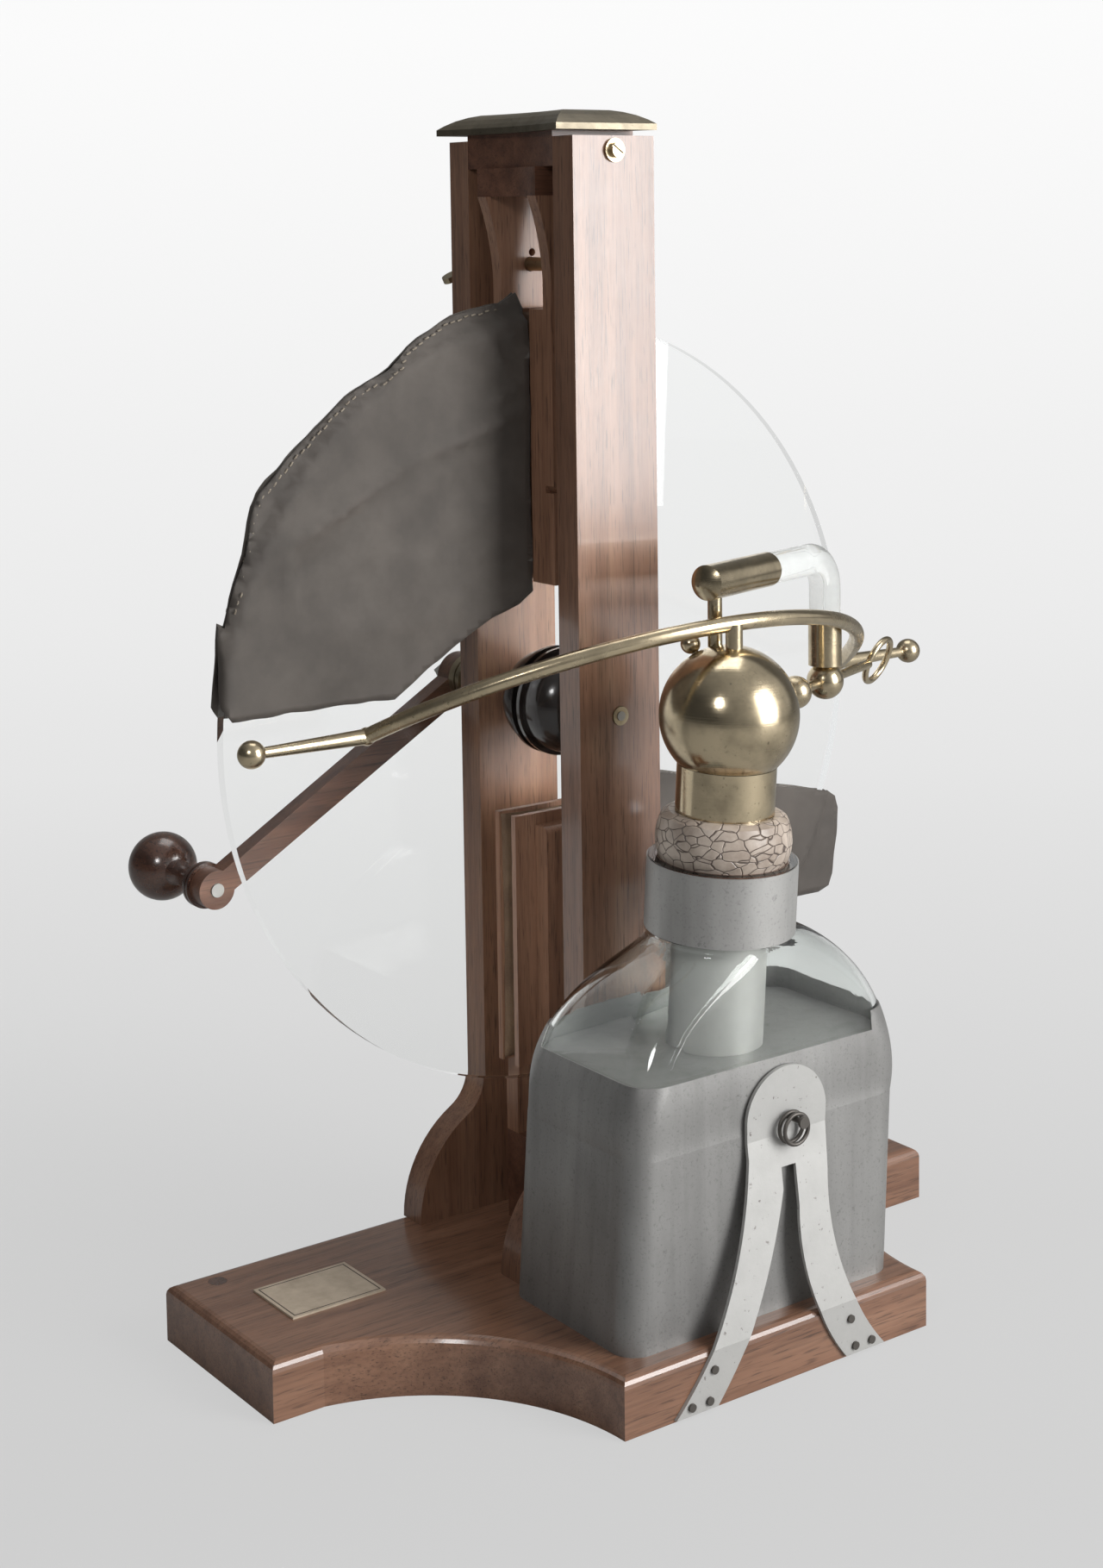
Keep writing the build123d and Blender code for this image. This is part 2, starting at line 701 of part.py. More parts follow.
def tightening_screw():
    """Long screw that draws the fork's arms together, winged behind the rear upright."""
    collar_at = upper_arm_in + arm_thick + fit_gap
    wing_at = upright_out + 6.0
    shaft = rod_y(screw_dia, -(upper_arm_in + arm_thick + 2.5), wing_at + 2, 0, screw_height)
    collar = rod_y(screw_collar_dia, collar_at, collar_at + screw_collar_thick, 0, screw_height)
    boss = rod_y(screw_collar_dia - 2, wing_at - 2, wing_at + 6, 0, screw_height)
    flat = Plane(origin=(0, 0, -wing_thick / 2))
    blade = make_face([
        Line((-4.0, wing_at - 2), (4.0, wing_at - 2)),
        Line((4.0, wing_at - 2), (wing_half, wing_at + wing_depth * 0.35)),
        ThreePointArc((wing_half, wing_at + wing_depth * 0.35),
                      (wing_half - 2.5, wing_at + wing_depth * 0.85),
                      (wing_half * 0.5, wing_at + wing_depth * 0.65)),
        Line((wing_half * 0.5, wing_at + wing_depth * 0.65), (4.0, wing_at + 6)),
        Line((4.0, wing_at + 6), (-4.0, wing_at + 6)),
        Line((-4.0, wing_at + 6), (-wing_half * 0.5, wing_at + wing_depth * 0.65)),
        ThreePointArc((-wing_half * 0.5, wing_at + wing_depth * 0.65),
                      (-wing_half + 2.5, wing_at + wing_depth * 0.85),
                      (-wing_half, wing_at + wing_depth * 0.35)),
        Line((-wing_half, wing_at + wing_depth * 0.35), (-4.0, wing_at - 2)),
    ])
    wing = Pos(0, 0, screw_height) * Rot(0, -wing_turn, 0) * extrude(flat * blade, wing_thick)
    return shaft + collar + boss + wing


# ---- Silk flaps ----------------------------------------------------------------------
def polar(r, angle):
    """A plan point of the plate, as X and Z, at a radius and an angle."""
    return (r * cos(radians(angle)), axle_height + r * sin(radians(angle)))


def arc_between(r, start, end):
    """An arc about the axle from one angle to another."""
    return ThreePointArc(polar(r, start), polar(r, (start + end) / 2), polar(r, end))


def fold(a, b, side):
    """A long low crease that swells in the middle, on the outer face of a flap."""
    outer = silk_stand_off + silk_thick
    run = Vector(b[0] - a[0], 0, b[1] - a[1])
    across = Vector(-run.Z, 0, run.X).normalized() * (fold_width / 2)
    middle = Vector((a[0] + b[0]) / 2, 0, (a[1] + b[1]) / 2)
    root = Vector(0, side * (outer - 0.5), 0)
    crest = Vector(0, side * (outer + fold_height), 0)
    corners = [middle + across + root, middle - across + root, middle + crest]
    ends = [Vector(a[0], side * (outer - 0.4), a[1]), Vector(b[0], side * (outer - 0.4), b[1])]
    shells = []
    for tip in ends:
        faces = [Face(Wire.make_polygon([corners[0], corners[1], corners[2]]))]
        for i in range(3):
            faces.append(Face(Wire.make_polygon([corners[i], corners[(i + 1) % 3], tip])))
        shells.append(Solid(Shell(faces)))
    return shells[0] + shells[1]


def flap(outline, seam_start, seam_end, folds, side):
    """A silk sheet beside the plate, its outer margin sewn across the plate's edge."""
    sheet = front_plate(outline, *both_sides(silk_stand_off, silk_stand_off + silk_thick, side))
    inner_r = silk_r - seam_width
    ring = make_face([
        arc_between(silk_r, seam_start, seam_end),
        Line(polar(silk_r, seam_end), polar(inner_r, seam_end)),
        arc_between(inner_r, seam_end, seam_start),
        Line(polar(inner_r, seam_start), polar(silk_r, seam_start)),
    ])
    sheet += front_plate(ring, *both_sides(0.1, silk_stand_off + silk_thick, side))
    for a, b in folds:
        sheet += fold(a, b, side)
    return sheet


def upper_flap(side):
    """Flap of the upper rubber: hangs over the quadrant towards the left collector."""
    edge = upper_board_half + seat_gap
    over = upper_board_top + seat_gap
    hem = axle_height + flap_drop
    high, low = 92.5, 174.0
    seam_high = 90 + degrees(asin((edge + 1) / (silk_r - seam_width)))
    top = polar(silk_r, high)
    corner = polar(silk_r, low)
    outline = make_face([
        arc_between(silk_r, high, low),
        Line(corner, (corner[0] + 4, hem + 1)),
        Line((corner[0] + 4, hem + 1), (-99.0, hem - 2)),
        Line((-99.0, hem - 2), (-86.5, hem)),
        Line((-86.5, hem), (-edge, upper_board_bottom - 3.5)),
        Line((-edge, upper_board_bottom - 3.5), (-edge, over)),
        Line((-edge, over), (top[0], over)),
        Line((top[0], over), top),
    ])
    knot = (-136.0, axle_height + 80)
    folds = [
        (knot, (-56.0, axle_height + 122)),
        ((-60.0, axle_height + 120), (-18.0, axle_height + 128)),
        (knot, (-131.0, axle_height + 45)),
        ((-46.0, axle_height + 167), (-32.0, axle_height + 138)),
    ]
    return flap(outline, seam_high, low, folds, side)


def lower_flap(side):
    """Flap of the lower rubber: reaches round towards the right collector."""
    edge = lower_board_half + seat_gap
    low, high = -77.0, -39.0
    start = polar(silk_r, low)
    turn = polar(silk_r, high)
    outline = make_face([
        arc_between(silk_r, low, high),
        Line(turn, (151.0, axle_height - 111.5)),
        ThreePointArc((151.0, axle_height - 111.5), (157.5, axle_height - 111.0),
                      (160.0, axle_height - 104)),
        Line((160.0, axle_height - 104), (165.0, axle_height - 74)),
        ThreePointArc((165.0, axle_height - 74), (163.5, axle_height - 66.5),
                      (156.0, axle_height - 63)),
        Line((156.0, axle_height - 63), (58.0, axle_height - 39)),
        ThreePointArc((58.0, axle_height - 39), (50.0, axle_height - 38),
                      (43.0, axle_height - 41)),
        Line((43.0, axle_height - 41), (edge, lower_board_top - 2)),
        Line((edge, lower_board_top - 2), (edge, start[1] + 6)),
        Line((edge, start[1] + 6), start),
    ])
    folds = [
        ((34.0, axle_height - 60), (104.0, axle_height - 72)),
        ((100.0, axle_height - 118), (148.0, axle_height - 84)),
    ]
    return flap(outline, low, high, folds, side)


# ---- Leyden jar ----------------------------------------------------------------------
def leaning(shape):
    """Places a shape drawn about Z, at its own heights, on the axis from jar foot to ball."""
    foot = Vector(jar_x, jar_y, jar_foot)
    axis = Plane(origin=foot, x_dir=(1, 0, 0), z_dir=ball_at - foot)
    return Location(axis) * Pos(0, 0, -jar_foot) * shape


def jar_section(z, width, depth, corner, shrink):
    """One rounded section of the bottle's body, shrunk for the inner wall."""
    w, d = width - 2 * shrink, depth - 2 * shrink
    r = min(max(corner - shrink, 1.0), min(w, d) / 2 - 0.05)
    middle = Pos(jar_x + jar_skew * (z - jar_foot), jar_y, z)
    return middle * RectangleRounded(w, d, r)


def neck_section(z, shrink):
    """Round section of the neck, square to the leaning axis."""
    side = neck_dia - 2 * shrink
    return leaning(Pos(0, 0, z) * RectangleRounded(side, side, side / 2 - 0.1))


def jar_form(shrink, floor, top):
    """Solid form of the bottle: straight body, shoulder and neck."""
    straight = jar_foot + jar_straight
    body = loft([jar_section(floor, jar_width, jar_depth, jar_corner, shrink),
                 jar_section(straight, jar_width - 1, jar_depth - 1, jar_corner, shrink)], ruled=True)
    steps = [
        (0.0, 1.0, 1.0, jar_corner, 0.0),
        (0.31, 3.0, 1.0, jar_corner + 2, 0.0),
        (0.44, 8.0, 3.0, jar_corner + 4, -0.3),
        (0.59, 17.0, 7.0, jar_corner + 8, -1.6),
        (0.76, 36.0, 12.0, jar_corner + 14, -4.4),
        (0.89, 60.0, 17.0, jar_corner + 18, -6.8),
    ]
    rings = [Pos(0, dy, 0) * jar_section(straight + share * shoulder_height, jar_width - narrow,
                                         jar_depth - thin, corner, shrink)
             for share, narrow, thin, corner, dy in steps]
    shoulder = loft(rings + [neck_section(neck_start, shrink)])
    neck = loft([neck_section(neck_start, shrink), neck_section(top, shrink)], ruled=True)
    return body + shoulder + neck


def jar_bottle():
    """Blown glass bottle with a rounded-oblong body and an open neck."""
    outside = jar_form(0.0, jar_foot, neck_top)
    inside = jar_form(jar_wall, jar_foot + jar_floor, neck_top + 1)
    return outside - inside


def jar_slice(z0, z1, x0=-plate_dia, y0=-plate_dia):
    """Everything of the jar's place between two heights, beyond an X and a Y."""
    return block(x0, plate_dia, y0, -upright_in, z0, z1)


def jar_foil():
    """Tinfoil coat on the outside of the bottle, reaching higher at the back and right."""
    grown = jar_form(-foil_thick, base_thick, neck_start + 1)
    high = foil_top + foil_back_rise
    coat = grown & jar_slice(base_thick, foil_top)
    coat += grown & jar_slice(foil_top - 1, high, x0=jar_x + jar_width * 0.42)
    coat += grown & jar_slice(foil_top - 1, high, y0=jar_y + jar_depth * 0.36)
    return coat - jar_form(0.0, jar_foot, neck_top)


def jar_filling():
    """Metal leaf pressed against the inside of the bottle, closed by its level top."""
    z0, z1 = jar_foot + jar_floor, foil_top - filling_drop
    outer = jar_form(jar_wall + run_gap, z0, neck_start + 1) & jar_slice(z0, z1)
    inner = jar_form(jar_wall + run_gap + filling_skin, z0 + filling_skin, neck_start + 1)
    shell = outer - (inner & jar_slice(z0, z1 - filling_skin))
    return shell - leaning(rod_z(stem_dia + 2 * fit_gap, z1 - 3 * filling_skin, z1 + 10))


def neck_band():
    """Painted foil band round the neck of the bottle."""
    z0, z1 = neck_start + 0.5, neck_top - 0.5
    inner = neck_dia + 2 * fit_gap
    return leaning(rod_z(inner + 2 * foil_thick, z0, z1) - rod_z(inner, z0, z1))


def neck_bung():
    """Turned wooden bung that holds the inner tube in the neck."""
    z0 = neck_top - bung_length
    plug = rod_z(neck_dia - 2 * jar_wall - 2 * fit_gap, z0, neck_top)
    return leaning(plug - rod_z(stem_dia + 2 * fit_gap, z0, neck_top))


def wax_seal():
    """Thick wax rim cast on the bottle's mouth around the brass ferrule."""
    r = wax_dia / 2
    profile = make_face([
        Line((ferrule_dia / 2 + run_gap, 0, 0), (r - 1.5, 0, 0)),
        ThreePointArc((r - 1.5, 0, 0), (r, 0, wax_height * 0.45), (r - 2.4, 0, wax_height - 1.5)),
        Polyline((r - 2.4, 0, wax_height - 1.5), (r - 5.2, 0, wax_height),
                 (ferrule_dia / 2 + run_gap, 0, wax_height),
                 (ferrule_dia / 2 + run_gap, 0, 0)),
    ])
    return leaning(Pos(0, 0, neck_top) * revolve(profile, Axis.Z))


def neck_ferrule():
    """Brass tube from the bung up to the ball, its rim cut to sit under the ball."""
    top = ball_at.Z - sqrt(ball_r ** 2 - (ferrule_dia / 2) ** 2) + 2
    tube = rod_z(ferrule_dia, neck_top, top)
    tube -= rod_z(ferrule_dia - 2 * ferrule_wall, neck_top, top)
    return leaning(tube) - Pos(ball_at) * Sphere(ball_r + fit_gap)


def inner_tube():
    """Tin tube from the ferrule into the filling, with a rod and disc on its floor."""
    top = neck_top + 12
    floor = jar_foot + jar_floor + filling_skin
    tube = rod_z(stem_dia, stem_bottom, top)
    tube -= rod_z(stem_dia - 2 * stem_wall, stem_bottom + 2, top)
    tube += rod_z(stem_rod_dia, floor + foot_disc_thick / 2, stem_bottom + 1)
    x, y = jar_x + jar_skew * jar_floor, jar_y
    foot = rod_z(foot_disc_dia, floor + fit_gap, floor + fit_gap + foot_disc_thick, x, y)
    return leaning(tube) + foot


# ---- Ball, bow and collectors --------------------------------------------------------
def conductor_ball():
    """Hollow brass ball bored for the stub, the post and the terminal's stem."""
    ball = Sphere(ball_r) - Sphere(ball_r - ball_wall)
    ball = Pos(ball_at) * ball
    high = ball_at.Z + ball_r + 2
    ball -= rod_z(stub_dia - 2 + 4 * fit_gap, ball_at.Z, high, *stub_at)
    ball -= rod_z(post_dia + 2 * run_gap, ball_at.Z, high, *post_at)
    return ball - terminal_stem(ball_r + 2, terminal_stem_dia + 2 * fit_gap)


def terminal_place():
    """Tilted frame of the ball-headed terminal on the conductor ball."""
    return Pos(ball_at) * Rot(0, 0, terminal_bearing) * Rot(0, terminal_tilt, 0)


def terminal_stem(reach, dia):
    """Stem of the terminal from inside the ball's wall outwards."""
    start = ball_r - ball_wall - 3
    return terminal_place() * (Pos(0, 0, (start + reach) / 2) * Cylinder(dia / 2, reach - start))


def ball_terminal():
    """Small ball-headed terminal screw on the conductor ball."""
    centre = ball_r + terminal_dia / 2 - 0.1
    head = Pos(0, 0, centre) * Sphere(terminal_dia / 2)
    head -= Sphere(ball_r + fit_gap)
    stem = terminal_stem(centre, terminal_stem_dia)
    return terminal_place() * head + stem


def bow_frame():
    """Radius, opening angle and placing of the bow's circular arc."""
    slope = sqrt(1 + (bow_rise / bow_plan_depth) ** 2)
    sag = bow_plan_depth * slope
    radius = (bow_half_chord ** 2 + sag ** 2) / (2 * sag)
    half_angle = degrees(atan2(bow_half_chord, radius - sag))
    tilt = -degrees(atan2(bow_rise, bow_plan_depth))
    place = Pos(bow_middle_x, collector_y, collector_height) * Rot(tilt, 0, 0)
    return radius, sag, half_angle, place


def bow_rod(dia):
    """The bent rod of the bow, as a part of a torus in the tilted plane."""
    radius, sag, half_angle, place = bow_frame()
    circle = Plane.XZ.offset(0) * (Pos(radius, 0) * Circle(dia / 2))
    arc = revolve(circle, Axis.Z, 2 * half_angle)
    return place * Pos(0, radius - sag, 0) * Rot(0, 0, -90 - half_angle) * arc


def bow_end(side):
    """The corner where the bow meets a collector: -1 left, 1 right."""
    return bow_middle_x + side * bow_half_chord


def collector(side, grow=0.0):
    """Tapered collector along the plate, with its end ball and its soldered corner."""
    joint_x = bow_end(side)
    ball_x = collector_left if side < 0 else collector_right
    length = abs(ball_x - joint_x)
    cone = Cone(bow_dia / 2 + grow, collector_tip_dia / 2 + grow, length)
    rod = Pos((joint_x + ball_x) / 2, 0, 0) * Rot(0, 90 * side, 0) * cone
    body = rod + Pos(ball_x, 0, 0) * Sphere(collector_ball_dia / 2 + grow)
    body += Pos(joint_x, 0, 0) * Sphere(joint_ball_dia / 2 + grow)
    return Pos(0, collector_y, collector_height) * body


def collecting_bow():
    """Bow of bent brass rod between the two collectors."""
    rod = bow_rod(bow_dia)
    for side in (-1, 1):
        rod -= collector(side, 0.02)
    return rod


def bow_stub():
    """Short pillar on the ball that carries the bow, notched to cradle it."""
    top = collector_height + bow_rise
    pillar = rod_z(stub_dia, ball_at.Z + 10, top, *stub_at)
    pillar -= Pos(ball_at) * Sphere(ball_r + seat_gap)
    pillar = pillar.solids().sort_by(Axis.Z)[-1]
    stud = rod_z(stub_dia - 2, ball_at.Z + ball_r - 8, top - 6, *stub_at)
    return pillar + stud - bow_rod(bow_dia + 0.04)


# ---- Electrometer --------------------------------------------------------------------
def on_arm(shape):
    """Places a shape drawn along +X from the post's axis at the arm's bearing."""
    return Pos(post_at[0], post_at[1], arm_height) * Rot(0, 0, arm_bearing) * shape


def electrometer_post():
    """Slim post from the ball up into the arm's sleeve."""
    return rod_z(post_dia, ball_at.Z + ball_r - 9, arm_height - sleeve_dia / 2 + 3, *post_at)


def arm_sleeve():
    """Round-ended brass sleeve that holds the glass arm level."""
    r = sleeve_dia / 2
    tube = rod_x(sleeve_dia, -sleeve_tail, sleeve_length - sleeve_tail)
    cap_r = (r * r + sleeve_cap ** 2) / (2 * sleeve_cap)
    cap = Pos(-sleeve_tail - sleeve_cap + cap_r, 0, 0) * Sphere(cap_r)
    tube += cap & rod_x(sleeve_dia, -sleeve_tail - sleeve_cap, -sleeve_tail)
    start = sleeve_length - sleeve_tail - glass_socket
    tube -= rod_x(glass_rod_dia + 2 * run_gap, start, sleeve_length)
    return on_arm(tube) - rod_z(post_dia + 2 * fit_gap, arm_height - r - 2,
                                arm_height - r + 3 + fit_gap, *post_at)


def glass_arm():
    """Solid glass rod bent down at a right angle."""
    start = sleeve_length - sleeve_tail - glass_socket + fit_gap
    drop_end = rod_height + arm_ball_dia / 2 + 3
    drop = arm_height - drop_end
    level = Line((start, 0, 0), (arm_reach - glass_bend, 0, 0))
    bend_mid = (arm_reach - glass_bend * (1 - sin(pi / 4)), 0, -glass_bend * (1 - cos(pi / 4)))
    bend = ThreePointArc((arm_reach - glass_bend, 0, 0), bend_mid, (arm_reach, 0, -glass_bend))
    down = Line((arm_reach, 0, -glass_bend), (arm_reach, 0, -drop))
    path = Wire([level, bend, down])
    section = Plane(origin=(start, 0, 0), z_dir=(1, 0, 0)) * Circle(glass_rod_dia / 2)
    return on_arm(sweep(section, path))


def arm_ferrule():
    """Brass ferrule and ball below the glass arm, cross-bored for the sliding rod."""
    low = rod_height + arm_ball_dia / 2 - 1.0
    top = low + arm_ferrule_length + 1
    body = rod_z(sleeve_dia, low, top, *arm_end)
    body += Pos(arm_end[0], arm_end[1], rod_height) * Sphere(arm_ball_dia / 2)
    body -= rod_z(glass_rod_dia + 2 * run_gap, rod_height + arm_ball_dia / 2 + 3 - fit_gap, top + 1,
                  *arm_end)
    return body - on_rod(rod_x(rod_dia + 2 * run_gap, -40, 40), hypot(
        arm_end[0] - ball_at.X, arm_end[1] - ball_at.Y))


def on_rod(shape, distance):
    """Places a shape drawn along +X on the sliding rod's line, from the ball's axis."""
    angle = radians(rod_bearing)
    return (Pos(ball_at.X + distance * cos(angle), ball_at.Y + distance * sin(angle), rod_height)
            * Rot(0, 0, rod_bearing) * shape)


def sliding_rod():
    """Sliding rod with its discharging ball inside and its pull ring outside."""
    length = finger_ring_from_ball - finger_ring_dia / 2 + finger_ring_wire / 2 - gap_ball_from_ball
    mean = (finger_ring_dia - finger_ring_wire) / 2
    body = rod_x(rod_dia, 0, length) + Sphere(gap_ball_dia / 2)
    ring = Rot(90 + finger_ring_roll, 0, 0) * Torus(mean, finger_ring_wire / 2)
    body += Pos(finger_ring_from_ball - gap_ball_from_ball, 0, 0) * ring
    return on_rod(body, gap_ball_from_ball)


# ---- Bracket -------------------------------------------------------------------------
def nail_places():
    """Nail centres in the feet of the bracket, as X and Z."""
    spots = []
    for foot, tilt in ((left_foot, 1), (right_foot, -1)):
        spots.append((foot + tilt * 8.5, 16.5))
        spots.append((foot + tilt * 6.0, 4.5))
        spots.append((foot - tilt * 3.0, 4.5))
    return spots


def bracket_outline():
    """Front view of the strap: arched head, and two legs that splay to the base."""
    left = bracket_middle - bracket_half
    right = bracket_middle + bracket_half - 1.0
    gap = bracket_slot / 2
    arch = bracket_top - bracket_half + 2.0
    left_in, left_out = left_foot + foot_width / 2, left_foot - foot_width / 2
    right_in, right_out = right_foot - foot_width / 2, right_foot + foot_width / 2
    slot_l, slot_r = bracket_middle - gap - 2.2, bracket_middle + gap - 0.6
    low = 1.0
    return make_face([
        ThreePointArc((left, arch), (bracket_middle, bracket_top), (right, arch)),
        Line((right, arch), (right - 1.5, bracket_fork - 6)),
        ThreePointArc((right - 1.5, bracket_fork - 6), (right - 0.4, 46), (right_out, low)),
        Line((right_out, low), (right_in, low)),
        ThreePointArc((right_in, low), (bracket_middle + gap + 1.8, 34), (slot_r, 68)),
        Line((slot_r, 68), (slot_r, bracket_fork)),
        Line((slot_r, bracket_fork), (slot_l, bracket_fork)),
        Line((slot_l, bracket_fork), (slot_l, 76)),
        ThreePointArc((slot_l, 76), (bracket_middle - gap - 16.0, 42), (left_in, low)),
        Line((left_in, low), (left_out, low)),
        ThreePointArc((left_out, low), (left - 13.6, 46), (left, bracket_fork + 6)),
        Line((left, bracket_fork + 6), (left, arch)),
    ])


def jar_bracket():
    """Bent metal strap that holds the jar to the front of the base."""
    near = jar_front - seat_gap
    far = -jar_arm_reach
    t = bracket_thick
    side_view = [(near, bracket_top + 1), (near, bracket_bend), (far, base_thick), (far, 0.0),
                 (far - t, 0.0), (far - t, base_thick), (near - t, bracket_bend),
                 (near - t, bracket_top + 1)]
    profile = make_face(Polyline(*side_view, close=True))
    wide = base_reach_left
    flat = Plane(origin=(-wide, 0, 0), x_dir=(0, 1, 0), z_dir=(1, 0, 0))
    sheet = extrude(flat * profile, 2 * wide)
    strap = front_plate(bracket_outline(), far - 20, jar_y) & sheet
    for x, z in nail_places():
        strap -= rod_y(nail_dia + 2 * fit_gap, far - t - 1, far + 1, x, z)
    return strap - rod_y(pin_dia + 2 * fit_gap, near - t - 1, near + 1, bracket_middle, pin_height)


def bracket_nails():
    """The nails in both feet, one solid each."""
    seat = -jar_arm_reach - bracket_thick
    nails = []
    for x, z in nail_places():
        shank = rod_y(nail_dia, seat, -jar_arm_reach + nail_length - fit_gap, x, z)
        nails.append(shank + rod_y(nail_head_dia, seat - nail_head_thick, seat, x, z))
    return nails


def ring_pin():
    """Headed pin in the bracket on which the link rings hang."""
    near = jar_front - seat_gap - bracket_thick
    pin = rod_y(pin_dia, near - pin_reach, near + bracket_thick, bracket_middle, pin_height)
    return pin + rod_y(pin_dia + 2.6, near - pin_reach - 1.2, near - pin_reach, bracket_middle,
                       pin_height)


def link_ring(index):
    """One of two link rings that hang side by side on the pin."""
    near = jar_front - seat_gap - bracket_thick
    y = near - 2.0 - ring_pitch * index
    drop = (ring_mean_dia - ring_wire) / 2 - pin_dia / 2 - fit_gap
    ring = Rot(90, 0, 0) * Torus(ring_mean_dia / 2, ring_wire / 2)
    return Pos(bracket_middle, y, pin_height - drop) * ring


# ---- All the pieces ------------------------------------------------------------------
def all_pieces():
    pieces = {
        "base": base(),
        "dowel_plug": dowel_plug(),
        "label_plate": label_plate(),
        "front_upright": upright(-1),
        "rear_upright": upright(1),
        "top_block": top_block(),
        "cap_plate": cap_plate(),
        "frame_screws": Compound(children=[frame_screw(-1), frame_screw(1),
                                           frame_washer(-1), frame_washer(1)]),
        "glass_plate": glass_plate(),
        "front_hub": hub(-1),
        "rear_hub": hub(1),
        "axle": axle(),
        "front_bush": front_bush(),
        "rear_bush": rear_bush(),
        "crank_hub": crank_hub(),
        "crank_arm": crank_arm(),
        "crank_nut": crank_nut(),
        "knob_spindle": knob_spindle(),
        "knob_collar": knob_collar(),
        "crank_knob": crank_knob(),
        "fork_block": fork_block(),
        "front_fork_arm": fork_arm(-1),
        "rear_fork_arm": fork_arm(1),
        "tightening_screw": tightening_screw(),
        "upper_front_board": upper_board(-1),
        "upper_rear_board": upper_board(1),
        "upper_front_pad": pad(upper_board_half, upper_board_bottom, upper_board_top, -1),
        "upper_rear_pad": pad(upper_board_half, upper_board_bottom, upper_board_top, 1),
        "lower_block": lower_block(),
        "lower_front_arm": lower_arm(-1),
        "lower_rear_arm": lower_arm(1),
        "lower_front_board": lower_board(-1),
        "lower_rear_board": lower_board(1),
        "lower_front_pad": pad(lower_board_half, lower_board_bottom, lower_board_top, -1),
        "lower_rear_pad": pad(lower_board_half, lower_board_bottom, lower_board_top, 1),
        "upper_front_silk": upper_flap(-1),
        "upper_rear_silk": upper_flap(1),
        "lower_front_silk": lower_flap(-1),
        "lower_rear_silk": lower_flap(1),
        "jar_bottle": jar_bottle(),
        "jar_foil": jar_foil(),
        "jar_filling": jar_filling(),
        "neck_band": neck_band(),
        "neck_bung": neck_bung(),
        "wax_seal": wax_seal(),
        "neck_ferrule": neck_ferrule(),
        "inner_tube": inner_tube(),
        "conductor_ball": conductor_ball(),
        "ball_terminal": ball_terminal(),
        "collecting_bow": collecting_bow(),
        "bow_stub": bow_stub(),
        "left_collector": collector(-1),
        "right_collector": collector(1),
        "electrometer_post": electrometer_post() + arm_sleeve(),
        "glass_arm": glass_arm(),
        "arm_ferrule": arm_ferrule(),
        "sliding_rod": sliding_rod(),
        "jar_bracket": jar_bracket(),
        "bracket_fixings": Compound(children=bracket_nails() + [ring_pin()]),
        "link_rings": Compound(children=[link_ring(0), link_ring(1)]),
    }
    return pieces


if __name__ == "__main__":
    os.makedirs("parts", exist_ok=True)
    for node, shape in all_pieces().items():
        export_step(shape, os.path.join("parts", node + ".step"))
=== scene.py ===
from math import cos, exp, hypot, pi, radians, sin

import bmesh
import bpy
from mathutils import Matrix, Vector, noise
from mathutils.geometry import delaunay_2d_cdt


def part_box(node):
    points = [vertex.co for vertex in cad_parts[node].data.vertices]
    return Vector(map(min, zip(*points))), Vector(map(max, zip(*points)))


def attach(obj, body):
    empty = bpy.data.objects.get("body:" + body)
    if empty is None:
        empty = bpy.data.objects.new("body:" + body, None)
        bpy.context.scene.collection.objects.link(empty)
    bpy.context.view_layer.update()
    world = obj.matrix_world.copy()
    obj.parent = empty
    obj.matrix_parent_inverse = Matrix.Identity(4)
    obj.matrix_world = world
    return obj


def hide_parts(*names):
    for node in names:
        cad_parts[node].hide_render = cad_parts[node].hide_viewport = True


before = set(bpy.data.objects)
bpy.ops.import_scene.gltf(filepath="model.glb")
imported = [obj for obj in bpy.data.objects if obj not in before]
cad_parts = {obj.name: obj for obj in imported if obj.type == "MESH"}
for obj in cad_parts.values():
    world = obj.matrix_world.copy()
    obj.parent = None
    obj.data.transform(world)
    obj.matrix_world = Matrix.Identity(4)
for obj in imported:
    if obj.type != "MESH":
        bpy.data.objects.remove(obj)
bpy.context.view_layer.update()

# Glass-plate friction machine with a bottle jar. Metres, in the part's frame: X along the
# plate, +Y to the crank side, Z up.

noise.seed_set(1)                # unset, the vector noise would differ from run to run

# ---- Camera: the photograph's place, turn and framing ----------------------------------
CAMERA_AT = Vector((-0.6097, -0.8403, 0.4635))
CAMERA_YAW = radians(35.913)     # from +Y towards +X
CAMERA_PITCH = radians(5.468)    # downwards
CAMERA_ROLL = 0.01422
PHOTO_FRAME = (1280, 1819)       # width and height in pixels
FOCAL_PIXELS = 2807.1
AXIS_PIXEL = 527.5               # row of the optical axis, counted from the frame's top
FILM = 36.0                      # the frame's height on the film, in millimetres
LEVEL_AHEAD = Vector((sin(CAMERA_YAW), cos(CAMERA_YAW), 0))
LEVEL_RIGHT = Vector((cos(CAMERA_YAW), -sin(CAMERA_YAW), 0))

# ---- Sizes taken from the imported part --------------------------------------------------
PLATE_LOW, PLATE_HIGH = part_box("glass_plate")
AXLE_Z = (PLATE_LOW[2] + PLATE_HIGH[2]) / 2
PLATE_R = (PLATE_HIGH[0] - PLATE_LOW[0]) / 2

SILK_THICK = 0.0007
SILK_OFF = 0.0052                # middle of the sheet from the middle of the plate
SILK_MESH = 0.0032               # distance between the sheet's points
RIM_OFF = 0.0009                 # the same as SILK_OFF, where two sheets meet past the plate
RIM_START = 0.0008               # from the plate's edge to where the sheets begin to close
RIM_RUN = 0.004                  # the length over which they close
LOWEST_FOLD = -0.0010            # no fold sinks deeper, so that the sheet clears the glass
CUT_STEP = 0.003                 # distance between points of a cut edge

